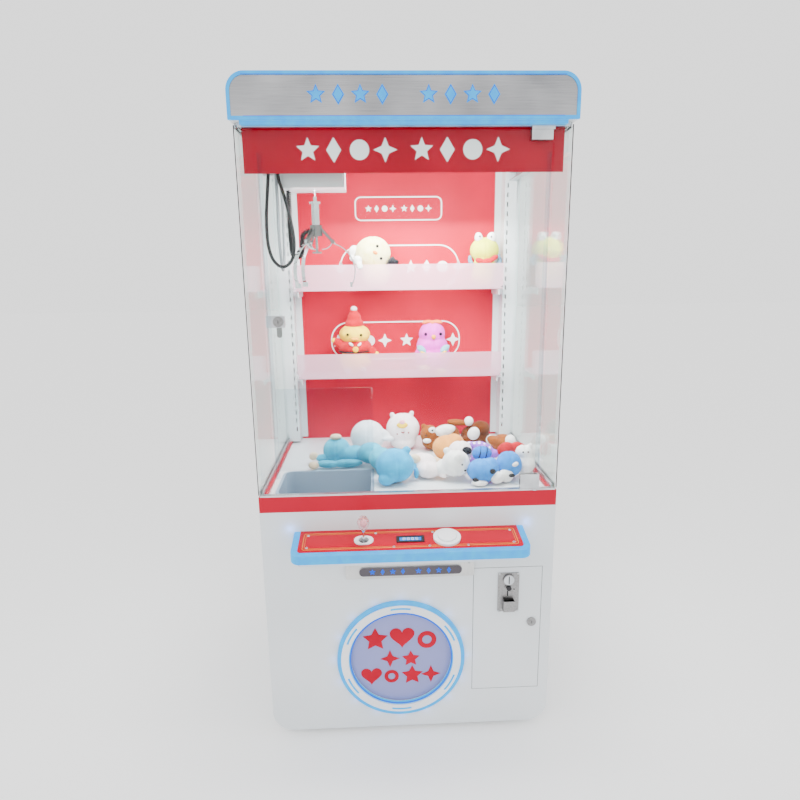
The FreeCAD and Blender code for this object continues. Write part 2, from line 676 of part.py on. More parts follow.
def make_rear():
    uprights = []
    x_out, x_in = half_w, half_w - upright_w - 2
    flange_end = back_panel_depth
    low, high = glass_z0, glass_z1
    profile_parts = [box(x_in, x_out, at(upright_depth), at(upright_depth + sheet), low, high),
                     box(x_out - sheet, x_out, at(upright_depth), at(cabinet_depth - sheet), low, high),
                     box(x_in, x_in + sheet, at(upright_depth), at(flange_end), low, high),
                     box(x_in - 22, x_in + sheet, at(flange_end - sheet), at(flange_end), low, high)]
    arm_x, arm_h = shelf_half_w - 14, 22.0
    for shelf_top in shelf_heights:
        z1 = shelf_top - shelf_t
        arm = box(arm_x, arm_x + 3, at(shelf_front + shelf_lip_t + 4), at(flange_end), z1 - arm_h, z1)
        tie = box(arm_x, x_in + sheet, at(upright_depth + 12), at(upright_depth + 30), z1 - arm_h, z1)
        profile_parts += [arm, tie]
    upright = fuse(profile_parts)
    slot_pitch = 32.0
    slot_count = int((glass_height - 80) / slot_pitch)
    slots = []
    for i in range(slot_count):
        z = glass_z0 + 40 + i * slot_pitch
        slots.append(box(x_in + 8, x_in + 12, at(upright_depth - 1), at(upright_depth + sheet + 1),
                         z, z + 16))
    upright = upright.cut(Part.makeCompound(slots))
    nodes["rear_uprights"] = Part.makeCompound([upright, mirrored(upright)])

    panel_half = x_in - 1
    nodes["back_panel"] = box(-panel_half, panel_half, at(back_panel_depth),
                              at(back_panel_depth + back_panel_t), deck_z, glass_z1)
    shelves = []
    lip_r = 24.0
    lip_back = at(shelf_front + shelf_lip_t)
    for shelf_top in shelf_heights:
        z0 = shelf_top - shelf_t
        plate = box(-shelf_half_w, shelf_half_w, lip_back, at(back_panel_depth - sheet), z0, shelf_top)
        lip = prism_y(rect(-shelf_half_w, shelf_half_w, z0, z0 + shelf_lip_h, lip_r, 4),
                      at(shelf_front), lip_back)
        joint = box(-shelf_half_w + lip_r, shelf_half_w - lip_r, at(shelf_front), lip_back + 1,
                    z0, shelf_top)
        shelves.append(fuse([plate, lip, joint]))
    nodes["shelves"] = Part.makeCompound(shelves)


def make_header():
    side = half_w + header_overhang_side
    edge = 8.0
    y_front = at(-header_overhang_front)
    outer = rect(-side, side, glass_z1, top_z, high_r=header_corner_r)
    inner = rect(-side + edge, side - edge, glass_z1 + edge, top_z - edge, high_r=header_corner_r - edge)
    ring_t = 9.0
    ring = prism_y(outer, y_front, y_front + ring_t)
    ring = ring.cut(prism_y(inner, y_front - 1, y_front + ring_t + 1))
    step = 2.0
    skin = step + sheet
    shell = prism_y(rect(-side + step, side - step, glass_z1, top_z - step, high_r=header_corner_r - step),
                    y_front + ring_t, at(cabinet_depth))
    hollow = prism_y(rect(-side + skin, side - skin, glass_z1 + sheet, top_z - skin,
                          high_r=header_corner_r - skin),
                     y_front + ring_t + sheet, at(cabinet_depth - sheet))
    nodes["header_shell"] = shell.cut(hollow)

    face_y0, face_y1 = y_front + 3, y_front + ring_t
    face = prism_y(inner, face_y0, face_y1)
    shapes, holes = [], []
    group_shift = 138.0
    pitch = 54.0
    z_mid = (glass_z1 + top_z) / 2 + 2
    for group in (-1, 1):
        for i in range(4):
            x = group * group_shift + (i - 1.5) * pitch
            for y0, y1, made in ((face_y0 - 0.8, face_y1, shapes), (face_y0 - 2, face_y1 + 1, holes)):
                if i % 2 == 0:
                    made.append(star(5, 24, 11, x, z_mid, y0, y1))
                else:
                    made.append(star(2, 24, 15, x, z_mid, y0, y1))
    nodes["header_face"] = cut(face, holes)
    strip = box(-half_w + 20, half_w - 20, at(-16), at(-4), glass_z1 - 9, glass_z1)
    nodes["header_lights"] = Part.makeCompound([ring, strip] + shapes)

    sign_z0 = glass_z1 - sign_drop
    nodes["inner_sign"] = box(-sign_half_w, sign_half_w, at(sign_depth), at(sign_depth + sign_t),
                              sign_z0, glass_z1)


# ---- console ----
slope = math.radians(console_slope_deg)


def on_console(shape):
    """Moves a shape drawn on a level top (back edge at y=0, z=0) onto the sloped console top."""
    copy = turned(shape, console_slope_deg, axis=(1, 0, 0))
    copy.translate(V(0, front_y, console_z))
    return copy


def slab(top, bottom, reach):
    """Wedge-ended slab under the sloped top, from the front panel forward, wide enough for any piece."""
    run = math.tan(slope)
    wide = half_w
    corners = [(front_y, console_z + top, 0), (front_y, console_z + bottom, 0),
               (front_y - reach, console_z + bottom - run * reach, 0),
               (front_y - reach, console_z + top - run * reach, 0)]
    return prism_x(corners, -wide, wide)


def console_hole(x, radius):
    """Round hole through the console top and body at the controls' line."""
    return on_console(rod(radius, (x, -console_pad, -30), (x, -console_pad, 10)))


def make_console():
    top_t = console_top_t
    body_front = console_reach - console_band_w
    body_low = -console_body_h - top_t
    half = console_half_w
    plan = prism_z(rect(-half, half, front_y - body_front, front_y + 1, 10, 0), 0, top_z)
    body = plan.common(slab(-top_t, body_low, body_front))
    hollow = box(-half + sheet, half - sheet, front_y - body_front + sheet, front_y + 1, 0, top_z)
    body = body.cut(hollow.common(slab(-top_t - 3, body_low + 3, body_front)))
    screen_hole = on_console(box(-display_half_w + display_rim - 0.5, display_half_w - display_rim + 0.5,
                                 -console_pad - display_half_h + 5, -console_pad + display_half_h - 5,
                                 -30, 10))
    barrel_hole = console_hole(button_x, button_barrel_r + 0.2)
    nodes["console_body"] = cut(body, [console_hole(joystick_x, stick_can_r + 1), barrel_hole, screen_hole])

    outer = prism_z(rect(-half - console_band_w, half + console_band_w, front_y - console_reach, front_y,
                         26, 0), 0, top_z)
    inner = prism_z(rect(-half, half, front_y - body_front, front_y + 1, 10, 0), 0, top_z)
    nodes["console_light_band"] = outer.cut(inner).common(slab(-1, -console_band_h - 1, console_reach + 1))

    top = plan.common(slab(0, -top_t, body_front))
    nodes["console_top"] = cut(top, [console_hole(joystick_x, stick_hole_r), barrel_hole, screen_hole])

    frame = prism_z(rect(-display_half_w, display_half_w, -console_pad - display_half_h,
                         -console_pad + display_half_h, 3, 3), 0, 2.5)
    window = rect(-display_half_w + display_rim + 0.5, display_half_w - display_rim - 0.5,
                  -console_pad - display_half_h + 6, -console_pad + display_half_h - 6)
    frame = frame.cut(prism_z(window, -1, 3))
    nodes["display"] = on_console(Part.makeCompound([frame, prism_z(window, -12, 1.5)]))

    c = (button_x, -console_pad)
    cap_top = 12.0
    plunger = fuse([rod(button_r, (*c, 6.6), (*c, cap_top)), rod(button_stem_r, (*c, -14), (*c, 8))])
    rim = [e for e in plunger.Edges if abs(e.BoundBox.ZMin - cap_top) < 0.01]
    nodes["button_plunger"] = on_console(plunger.makeFillet(4, rim))


def button_bezel():
    """Round bezel and barrel of the push button."""
    c = (button_x, -console_pad)
    bezel = fuse([rod(button_bezel_r, (*c, 0), (*c, 7)), rod(button_barrel_r, (*c, -24), (*c, 0))])
    return on_console(cut(bezel, [rod(button_r + seat_gap, (*c, 2), (*c, 8)),
                                  rod(button_stem_r + seat_gap, (*c, -21), (*c, 8))]))


def make_joystick():
    x, y = joystick_x, -console_pad
    j = (x, y)
    throat = stick_hole_r - 1.5
    bottom = stick_pivot - 14
    dust = prism_z(rect(x - 27, x + 27, y - 20, y + 20, 19, 19), 0, 3)
    skirt = fuse([dust, rod(stick_hole_r - 0.1, (*j, -7), (*j, 3))]).cut(rod(throat, (*j, -8), (*j, 4)))
    can = rod(stick_can_r, (*j, bottom - 2), (*j, -6.9)).cut(rod(stick_can_r - 2, (*j, bottom), (*j, -8.9)))
    can = can.cut(rod(throat, (*j, -10), (*j, -6)))
    pins = [rod(stick_pin_r, (x + side * 14, y, stick_pivot), (x + side * 23.5, y, stick_pivot))
            for side in (-1, 1)]
    housing = on_console(fuse([skirt, can] + pins))
    nodes["control_housings"] = Part.makeCompound([housing, button_bezel()])

    gimbal = box(x - 18, x + 18, y - 12, y + 12, stick_pivot - 5, stick_pivot + 5)
    gimbal = gimbal.cut(box(x - 12, x + 12, y - 8, y + 8, stick_pivot - 6, stick_pivot + 6))
    bore_r = stick_pin_r + pin_gap
    gimbal = cut(gimbal, [rod(bore_r, (x - 25, y, stick_pivot), (x - 13, y, stick_pivot)),
                          rod(bore_r, (x + 13, y, stick_pivot), (x + 25, y, stick_pivot))])
    cross = [rod(stick_pin_r, (x, y + side * 4, stick_pivot), (x, y + side * 9, stick_pivot))
             for side in (-1, 1)]
    nodes["joystick_gimbal"] = on_console(fuse([gimbal] + cross))

    knob_foot = 38.0
    stem = rod(stick_r, (*j, stick_pivot - 7), (*j, knob_foot + 4))
    eye = box(x - 6, x + 6, y - 6, y + 6, stick_pivot - 6, stick_pivot + 6)
    stem = fuse([stem, eye, rod(8, (*j, knob_foot - 4), (*j, knob_foot))])
    stem = cut(stem, [rod(bore_r, (x, y - 9, stick_pivot), (x, y - 3, stick_pivot)),
                      rod(bore_r, (x, y + 3, stick_pivot), (x, y + 9, stick_pivot))])
    nodes["joystick_shaft"] = on_console(stem)
    knob = fuse([ball(knob_r, (*j, knob_foot + 26)),
                 Part.makeCone(9, knob_r - 1.5, 18, V(x, y, knob_foot)),
                 rod(9, (*j, knob_foot), (*j, knob_foot + 6))])
    nodes["joystick_knob"] = on_console(knob.cut(rod(stick_r, (*j, knob_foot - 8), (*j, knob_foot + 4))))


def make_badge():
    x1 = coin_door_x - 1
    x0 = x1 - badge_w
    board = prism_y(rect(x0, x1, badge_z, badge_z + badge_h, 5, 5), at(-8), at(0))
    bar = prism_y(rect(x0 + 39, x1 - 36, badge_z + 9, badge_z + badge_h - 8, 13, 13), at(-11), at(-8))
    lights = []
    for i in range(8):
        x = (x0 + x1 + 3) / 2 + (i - 3.5) * 30 + (8 if i > 3 else -8)
        lights.append(star(2 if i % 2 else 5, 9, 4.5, x, badge_z + badge_h / 2, at(-12), at(-11)))
    nodes["badge_board"] = Part.makeCompound([board, bar] + lights)


# ---- pins that carry the coin door and the flap ----
def make_pivots():
    bracket_t = 9.0
    pieces = []
    for z0, z1, pin0, pin1 in ((coin_z1 + 0.5, coin_z1 + bracket_t, coin_z1 - pin_reach, coin_z1 + seam),
                               (coin_door_z - bracket_t, coin_door_z - 0.5,
                                coin_door_z - seam, coin_door_z + pin_reach)):
        block = box(coin_pivot_x - 12, coin_pivot_x + 8, at(sheet), at(14), z0, z1)
        pieces.append(fuse([block, rod(coin_pin_r, (coin_pivot_x, coin_pivot_y, pin0),
                                       (coin_pivot_x, coin_pivot_y, pin1))]))
    hinge = [rod(flap_rod_r, (prize_x - flap_rod_half, flap_rod_y, flap_rod_z),
                 (prize_x + flap_rod_half, flap_rod_y, flap_rod_z))]
    for side in (-1, 1):
        x = prize_x + side * (flap_rod_half - 4)
        hinge.append(box(x - 4, x + 4, at(sheet), flap_rod_y + 7, flap_rod_z - 7, flap_rod_z + 7))
    pieces.append(fuse(hinge))
    nodes["hinge_pins"] = Part.makeCompound(pieces)


# ---- electrics and cash box ----
def make_inside():
    base = base_bottom + base_corner_r + tube
    wall = bin_wall
    cash = box(cash_x0, cash_x1, at(cash_front), at(cash_depth1), base, base + cash_h)
    nodes["cash_box"] = cash.cut(box(cash_x0 + wall, cash_x1 - wall, at(cash_front + wall),
                                     at(cash_depth1 - wall), base + wall, base + cash_h + 1))
    y_back = at(cabinet_depth - sheet)
    flange = box(inlet_x - inlet_half_w - 6, inlet_x + inlet_half_w + 6, y_back - 2, y_back,
                 inlet_z - inlet_half_h - 6, inlet_z + inlet_half_h + 6)
    body = box(inlet_x - inlet_half_w, inlet_x + inlet_half_w, y_back - 30, y_back + sheet,
               inlet_z - inlet_half_h, inlet_z + inlet_half_h)
    supply_x0 = -foot_x + 15
    supply = box(supply_x0, supply_x0 + 110, y_back - 150, y_back - 30, base_bottom + sheet,
                 inlet_z + inlet_half_h)
    socket = box(inlet_x - 13, inlet_x + 13, y_back - 14, y_back + 5, inlet_z - 24, inlet_z - 4)
    prongs = [box(inlet_x + x - 2, inlet_x + x + 2, y_back - 14, y_back - 2, inlet_z - 17, inlet_z - 11)
              for x in (-7, 0, 7)]
    rocker_bay = box(inlet_x - 11, inlet_x + 11, y_back - 14, y_back + 5, inlet_z + 4, inlet_z + 24)
    pin = rod(2, (inlet_x - 12, rocker_y, rocker_z), (inlet_x + 12, rocker_y, rocker_z))
    unit = fuse([flange, body, supply])
    unit = unit.cut(Part.makeCompound([socket, rocker_bay]))
    nodes["power_unit"] = fuse([unit] + prongs + [pin])

    rocker = rod(rocker_r, (inlet_x - 10.5, rocker_y, rocker_z), (inlet_x + 10.5, rocker_y, rocker_z))
    keep = box(inlet_x - 11, inlet_x + 11, rocker_y - 5, rocker_y + 7, rocker_z - 10, rocker_z + 10)
    rocker = rocker.common(keep)
    nodes["power_switch"] = rocker.cut(rod(2 + pin_gap, (inlet_x - 12, rocker_y, rocker_z),
                                           (inlet_x + 12, rocker_y, rocker_z)))


# ---- gantry ----
def make_gantry():
    channel_x1 = rail_out - rail_web
    hanger_w = 24.0
    outer = box(rail_x, rail_out, at(rail_front), at(upright_depth), rail_z, rail_z + rail_size)
    channel = box(rail_x - 1, channel_x1, at(rail_front - 1), at(upright_depth + 1),
                  rail_z + rail_web, rail_z + rail_size - rail_web)
    rail = outer.cut(channel)
    hangers = [box(rail_x + 4, rail_out, at(d), at(d + hanger_w), rail_z + rail_size - 1, glass_z1)
               for d in (rail_front + 4, upright_depth - hanger_w - 4)]
    right = fuse([rail] + hangers)
    clip_y0, clip_y1 = at(240), at(256)
    tab = box(-rail_x - 12, -rail_x + 47, clip_y0, clip_y1, rail_tab_z, rail_tab_z + 5)
    tab_foot = box(-rail_x - 12, -rail_x, clip_y0, clip_y1, rail_tab_z, rail_z + 1)
    left = fuse([mirrored(right), tab, tab_foot])
    nodes["gantry_rails"] = Part.makeCompound([left, right])

    end_in, end_out = rail_x - 20, rail_x - 8
    glide_out = channel_x1 - seat_gap
    glide_z0 = rail_z + rail_web + seat_gap
    glide_z1 = rail_z + rail_size - rail_web - seat_gap
    parts = []
    for s in (-1, 1):
        y = claw_y + s * bar_spread
        parts.append(box(-end_out, end_out, y - bar_size / 2, y + bar_size / 2, bar_z0, bar_z1))
        x0, x1 = sorted((s * end_in, s * end_out))
        parts.append(box(x0, x1, claw_y - 60, claw_y + 60, rail_z - 2, bar_z1 + 6))
        for d in (-45, 45):
            g0, g1 = sorted((s * (end_out - 1), s * glide_out))
            parts.append(box(g0, g1, claw_y + d - 12, claw_y + d + 12, glide_z0, glide_z1))
    parts.append(box(-end_out, -rail_x + 52, claw_y - 80, claw_y - 58, bar_z1 - 6, bar_z1))
    parts.append(box(-end_out, -rail_x + 47, claw_y + 18, claw_y + 34, cable_tab_z, rail_z - 1))
    nodes["bridge_frame"] = fuse(parts)

    x, y = claw_x, claw_y
    plate_t = 3.0
    plate = box(x - 70, x + 70, y - 52, y + 52, bar_z1 + seat_gap, bar_z1 + 5)
    between = bar_spread - bar_size / 2 - seat_gap
    hopper = box(x - 60, x + 60, y - between, y + between, cover_top, bar_z1 + 1)
    hopper = hopper.cut(box(x - 57, x + 57, y - between + plate_t, y + between - plate_t,
                            cover_top - 1, bar_z1 + 2))
    floor_plate = box(x - cover_half_x, x + cover_half_x, y - cover_half_y, y + cover_half_y,
                      cover_top, cover_top + plate_t)
    tab = box(x - cover_half_x - 12, x - cover_half_x + 2, y - 80, y - 40, cover_top, cover_top + plate_t)
    lugs = []
    for s in (-1, 1):
        y0, y1 = sorted((y + s * 16, y + s * 20))
        lugs.append(box(drum_x - 7, drum_x + 7, y0, y1, drum_z - 8, cover_top + 1))
    shaft_r = 3.0
    bore = rod(shaft_r + pin_gap, (drum_x, y - 21, drum_z), (drum_x, y + 24, drum_z))
    motor = rod(15, (drum_x, y + 19, drum_z + 2), (drum_x, y + 54, drum_z + 2))
    cord_hole = rod(5, (x, y, cover_top - 1), (x, y, cover_top + plate_t + 1))
    nodes["trolley_frame"] = cut(fuse([plate, hopper, floor_plate, tab, motor] + lugs), [bore, cord_hole])

    cover = prism_z(rect(x - cover_half_x, x + cover_half_x, y - cover_half_y, y + cover_half_y, 10, 10),
                    cover_bottom, cover_top)
    inner_x, inner_y = cover_half_x - sheet, cover_half_y - sheet
    hollow = prism_z(rect(x - inner_x, x + inner_x, y - inner_y, y + inner_y, 8, 8),
                     cover_bottom + sheet, cover_top + 1)
    cover_hole = rod(6, (x, y, cover_bottom - 1), (x, y, cover_bottom + 3))
    nodes["trolley_cover"] = cut(cover, [hollow, cover_hole])

    flange_r = drum_r + 6
    nodes["winch_drum"] = fuse([rod(drum_r, (drum_x, y - 10, drum_z), (drum_x, y + 10, drum_z)),
                                rod(flange_r, (drum_x, y - 12, drum_z), (drum_x, y - 9, drum_z)),
                                rod(flange_r, (drum_x, y + 9, drum_z), (drum_x, y + 12, drum_z)),
                                rod(shaft_r, (drum_x, y - 21, drum_z), (drum_x, y + 21, drum_z))])
    nodes["hoist_cord"] = rod(hoist_cord_r, (x, y, claw_top), (x, y, drum_z))


# ---- claw ----
def arc_strip(p0, p1, p2, thick, half_width):
    """Flat bar bent along the arc through three (radius, height) points, drawn about Y."""
    arc = Part.Arc(V(p0[0], 0, p0[1]), V(p1[0], 0, p1[1]), V(p2[0], 0, p2[1])).toShape()
    centre, radius = arc.Curve.Center, arc.Curve.Radius
    ends = []
    for p in (p0, p1, p2):
        out = V(p[0], 0, p[1]) - centre
        out.normalize()
        ends.append((centre + out * (radius - thick / 2), centre + out * (radius + thick / 2)))
    lift = V(0, -half_width, 0)
    inner = Part.Arc(ends[0][0] + lift, ends[1][0] + lift, ends[2][0] + lift).toShape()
    outer = Part.Arc(ends[0][1] + lift, ends[1][1] + lift, ends[2][1] + lift).toShape()
    cap0 = Part.LineSegment(ends[0][0] + lift, ends[0][1] + lift).toShape()
    cap1 = Part.LineSegment(ends[2][0] + lift, ends[2][1] + lift).toShape()
    wire = Part.Wire(Part.__sortEdges__([inner, cap0, outer, cap1]))
    return Part.Face(wire).extrude(V(0, 2 * half_width, 0))


def bar_between(p0, p1, thick, y0, y1):
    """Straight flat bar between two (radius, height) points."""
    along = V(p1[0] - p0[0], p1[1] - p0[1], 0)
    along.normalize()
    side = V(-along.y, along.x, 0) * (thick / 2)
    corners = [(p0[0] + side.x, p0[1] + side.y, 0), (p1[0] + side.x, p1[1] + side.y, 0),
               (p1[0] - side.x, p1[1] - side.y, 0), (p0[0] - side.x, p0[1] - side.y, 0)]
    return prism_y(corners, y0, y1)


def on_claw(shape, azimuth):
    copy = turned(shape, azimuth)
    copy.translate(V(claw_x, claw_y, 0))
    return copy


finger_azimuths = (0.0, 120.0, 240.0)


def make_claw():
    axis = (claw_x, claw_y)
    coil_r, coil_bore = 11.0, 6.0
    eye = rod(5, (*axis, claw_top - 14), (*axis, claw_top))
    cap = rod(16, (*axis, claw_top - 20), (*axis, claw_top - 14))
    coil = rod(coil_r, (*axis, hub_top), (*axis, claw_top - 20))
    coil = coil.cut(rod(coil_bore, (*axis, hub_top - 1), (*axis, claw_top - 24)))
    nodes["claw_head"] = fuse([eye, cap, coil])

    parts = [rod(hub_r, (*axis, hub_bottom), (*axis, hub_top))]
    for azimuth in finger_azimuths:
        for y0, y1 in ((4.5, 7.0), (-7.0, -4.5)):
            strut = fuse([bar_between((12, hub_top - 8), (pivot_r, pivot_z), 8, y0, y1),
                          rod(6, (pivot_r, y0, pivot_z), (pivot_r, y1, pivot_z))])
            parts.append(on_claw(strut, azimuth))
        parts.append(on_claw(rod(finger_pin_r, (pivot_r, -7, pivot_z), (pivot_r, 7, pivot_z)), azimuth))
    bore = rod(plunger_r + pin_gap, (*axis, hub_bottom - 1), (*axis, hub_top + 1))
    nodes["claw_hub"] = fuse(parts).cut(bore)

    plate_z0 = plunger_plate_z - 5
    nodes["claw_plunger"] = fuse([rod(plunger_r, (*axis, plate_z0), (*axis, hub_top + 10)),
                                  rod(plunger_plate_r, (*axis, plate_z0), (*axis, plunger_plate_z))])

    for i, azimuth in enumerate(finger_azimuths):
        knuckle = rod(6, (pivot_r, -4, pivot_z), (pivot_r, 4, pivot_z))
        root_end = (pivot_r + 7, pivot_z - 7)
        link = bar_between((pivot_r, pivot_z), root_end, 5, -4, 4)
        talon = arc_strip(root_end, (pivot_r + 60, pivot_z - 72), (pivot_r + 50, pivot_z - 121), 3, 5)
        tip = box(pivot_r + 46, pivot_r + 52, -8, 8, pivot_z - 126, pivot_z - 112)
        inner = arc_strip((pivot_r - 31, pivot_z - 20.5), (pivot_r - 13, pivot_z - 16),
                          (pivot_r - 2, pivot_z - 3), 3, 3)
        finger = fuse([knuckle, link, talon, tip, inner])
        finger = finger.cut(rod(finger_pin_r + pin_gap, (pivot_r, -8, pivot_z), (pivot_r, 8, pivot_z)))
        nodes["claw_finger_%d" % (i + 1)] = on_claw(finger, azimuth)


# ---- cords ----
def make_cords():
    cord_x = claw_x - 72
    y = claw_y
    nodes["claw_cord"] = cord_tube("claw_cord", [
        (cord_x, y, cover_bottom), (cord_x, y, 1600), (cord_x - 1, y - 1, 1556), (cord_x, y, 1514),
        (cord_x + 1, y + 1, 1492), (cord_x + 2, y, 1474), (cord_x + 10, y, 1466), (cord_x + 22, y, 1466),
        (cord_x + 30, y, 1474), (cord_x + 30, y, 1498), (cord_x + 32, y, 1522), (cord_x + 41, y, 1537),
        (claw_x - hub_r - seat_gap, y, 1537)], claw_cord_r)
    y = claw_y - 69
    nodes["trolley_cable"] = cord_tube("trolley_cable", [
        (-358, y, bar_z1 - 6), (-358, y, 1692), (-363, y, 1642), (-369, y - 1, 1592), (-372, y, 1542),
        (-371, y, 1494), (-360, y + 1, 1454), (-334, y, 1434), (-307, y + 1, 1454), (-299, y, 1494),
        (-303, y - 1, 1542), (-313, y, 1590), (-324, y, 1636), (-336, y, 1670),
        (-336, y, cover_top)], cable_r)
    x = -354
    y0, y1 = claw_y + 26, at(248)
    nodes["bridge_cable"] = cord_tube("bridge_cable", [
        (x, y0, cable_tab_z), (x, y0, 1662), (x + 1, y0 - 2, 1610), (x, y0 - 2, 1556),
        (x, y0 + 1, 1502), (x + 1, y0 + 10, 1452), (x, y0 + 36, 1424), (x - 1, y1 - 12, 1448),
        (x, y1, 1498), (x, y1 + 2, 1552), (x + 1, y1 + 3, 1606), (x, y1, 1652),
        (x, y1, rail_tab_z)], cable_r)


# ---- stock of plush toys: plain closed solids of the right size ----
def plush(x, depth, floor, balls):
    """Fused balls, cut flat where the toy sits. Each ball is (dx, dy, dz, radius) from the seat."""
    seat = floor + seat_gap
    y = at(depth)
    solid = fuse([ball(r, (x + dx, y + dy, seat + dz)) for dx, dy, dz, r in balls])
    spread = 400.0
    return solid.common(box(x - spread, x + spread, y - spread, y + spread, seat, seat + spread))


def make_plush():
    shelf_mid = shelf_front + 70
    upper, lower = shelf_heights[1], shelf_heights[0]
    nodes["plush_on_shelves"] = Part.makeCompound([
        plush(-75, shelf_mid, upper, [(0, 0, 50, 58), (-14, 0, 128, 62)]),
        plush(305, shelf_mid, upper, [(0, 0, 46, 50), (4, 0, 128, 56)]),
        plush(-162, shelf_mid, lower, [(0, 0, 50, 58), (0, 0, 142, 62), (0, 0, 210, 34)]),
        plush(121, shelf_mid, lower, [(0, 0, 50, 60), (0, 0, 142, 62)])])
    nodes["plush_on_deck"] = Part.makeCompound([
        plush(-36, 118, deck_z, [(0, 0, 40, 60)]),
        plush(-226, 322, deck_z, [(0, 0, 32, 42), (60, -14, 26, 30)]),
        plush(-104, 274, deck_z, [(0, 0, 26, 28)]),
        plush(-70, 214, deck_z, [(0, 0, 26, 28)]),
        plush(-115, 420, deck_z, [(0, 0, 45, 58), (-6, -8, 104, 36)]),
        plush(5, 455, deck_z, [(0, 0, 45, 56), (0, -10, 108, 44)]),
        plush(128, 440, deck_z, [(0, 0, 45, 56), (0, -20, 100, 42)]),
        plush(248, 440, deck_z, [(0, 0, 45, 56), (6, -14, 92, 40)]),
        plush(350, 360, deck_z, [(0, 0, 40, 50), (0, -6, 80, 38)]),
        plush(60, 210, deck_z, [(0, 0, 34, 46), (0, -24, 58, 34)]),
        plush(152, 124, deck_z, [(0, 0, 36, 44), (0, 0, 58, 38)]),
        plush(176, 200, deck_z, [(0, 0, 28, 32), (0, 0, 66, 32)]),
        plush(236, 96, deck_z, [(0, 0, 36, 42), (2, 58, 54, 24)]),
        plush(314, 112, deck_z, [(0, 0, 36, 36), (0, 0, 54, 34)]),
        plush(372, 152, deck_z, [(0, 0, 27, 31), (0, 0, 72, 26)]),
        plush(352, 236, deck_z, [(0, 0, 34, 44)]),
        plush(252, 244, deck_z, [(0, 0, 34, 46)]),
        plush(150, 310, deck_z, [(0, 0, 34, 52)])])


make_base()
make_waist()
make_prize_bin()
make_flap()
make_coin_door()
make_showcase()
make_rear()
make_header()
make_console()
make_joystick()
make_badge()
make_pivots()
make_inside()
make_gantry()
make_claw()
make_cords()
make_plush()

os.makedirs("parts", exist_ok=True)
for name, shape in nodes.items():
    shape.exportStep("parts/%s.step" % name)
print(len(nodes), "nodes")
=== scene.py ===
import math
import bmesh
import bpy
from mathutils import Euler, Matrix, Vector


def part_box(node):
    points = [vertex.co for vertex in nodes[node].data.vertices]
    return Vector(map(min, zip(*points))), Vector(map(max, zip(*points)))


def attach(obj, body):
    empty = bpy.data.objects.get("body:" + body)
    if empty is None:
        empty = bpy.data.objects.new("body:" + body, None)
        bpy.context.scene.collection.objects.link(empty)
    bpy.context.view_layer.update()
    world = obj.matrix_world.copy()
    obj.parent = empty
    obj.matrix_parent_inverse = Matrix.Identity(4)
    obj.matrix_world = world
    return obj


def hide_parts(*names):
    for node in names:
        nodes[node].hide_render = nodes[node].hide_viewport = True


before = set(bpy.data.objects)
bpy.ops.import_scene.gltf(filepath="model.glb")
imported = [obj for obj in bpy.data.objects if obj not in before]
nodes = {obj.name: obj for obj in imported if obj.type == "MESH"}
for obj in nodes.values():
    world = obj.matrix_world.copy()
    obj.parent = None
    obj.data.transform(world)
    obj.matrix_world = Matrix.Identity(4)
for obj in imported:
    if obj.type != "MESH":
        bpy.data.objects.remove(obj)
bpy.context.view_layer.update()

MM = 0.001


# ---- small helpers ----
def linear(code):
    """Linear colour of an sRGB hex value."""
    steps = [int(code[i:i + 2], 16) / 255 for i in (1, 3, 5)]
    return tuple(c / 12.92 if c <= 0.04045 else ((c + 0.055) / 1.055) ** 2.4 for c in steps) + (1.0,)


def add_node(tree, kind, values=None, links=None, **traits):
    """One shader node with its traits, socket values and incoming links."""
    made = tree.nodes.new("ShaderNode" + kind)
    for name, value in traits.items():
        setattr(made, name, value)
    for name, value in (values or {}).items():
        made.inputs[name].default_value = value
    for name, source in (links or {}).items():
        tree.links.new(source, made.inputs[name])
    return made


def new_material(name):
    """An empty material and its tree."""
    material = bpy.data.materials.new(name)
    material.use_nodes = True
    material.node_tree.nodes.clear()
    return material, material.node_tree


def surfaced(material, shader):
    """The material, with its shader wired to an output."""
    add_node(material.node_tree, "OutputMaterial", links={"Surface": shader.outputs[0]})
    return material


def object_place(tree):
    """Object coordinates, from one node in each tree."""
    found = [made for made in tree.nodes if made.type == "TEX_COORD"]
    return (found[0] if found else add_node(tree, "TexCoord")).outputs["Object"]


def noise(tree, scale, detail, rough=0.5, vector=None):
    """Noise on Object coordinates, or along another vector."""
    return add_node(tree, "TexNoise", {"Scale": scale, "Detail": detail, "Roughness": rough},
                    {"Vector": object_place(tree) if vector is None else vector}).outputs["Fac"]


def bumps(tree, height, strength, distance):
    """Normal of a surface raised by a height."""
    return add_node(tree, "Bump", {"Strength": strength, "Distance": distance},
                    {"Height": height}).outputs["Normal"]


def sums(tree, operation, first, second):
    """A sum, product or comparison of a socket with a socket or a number."""
    made = add_node(tree, "Math", links={0: first}, operation=operation)
    if isinstance(second, float):
        made.inputs[1].default_value = second
    else:
        tree.links.new(second, made.inputs[1])
    return made.outputs[0]


def ramp(tree, source, stops):
    """Colour ramp with its stops at (place, hex colour)."""
    made = add_node(tree, "ValToRGB", links={"Fac": source})
    elements = made.color_ramp.elements
    while len(elements) < len(stops):
        elements.new(0.5)
    for element, (place, code) in zip(elements, stops):
        element.position = place
        element.color = linear(code)
    return made.outputs["Color"]


# ---- materials ----
def powder_coat(name, light, dark, rough=0.34, shine=0.4):
    """Polyester powder coat on sheet steel: faint orange peel about 2 mm across, soft gloss."""
    material, tree = new_material(name)
    colour = ramp(tree, noise(tree, 3.0, 2.0), ((0.3, dark), (0.7, light)))
    peel = bumps(tree, noise(tree, 450.0, 1.0), 0.05, 0.0004)
    return surfaced(material, add_node(
        tree, "BsdfPrincipled",
        {"Roughness": rough, "Coat Weight": 0.05, "Coat Roughness": 0.12, "Specular IOR Level": shine},
        {"Base Color": colour, "Normal": peel}))


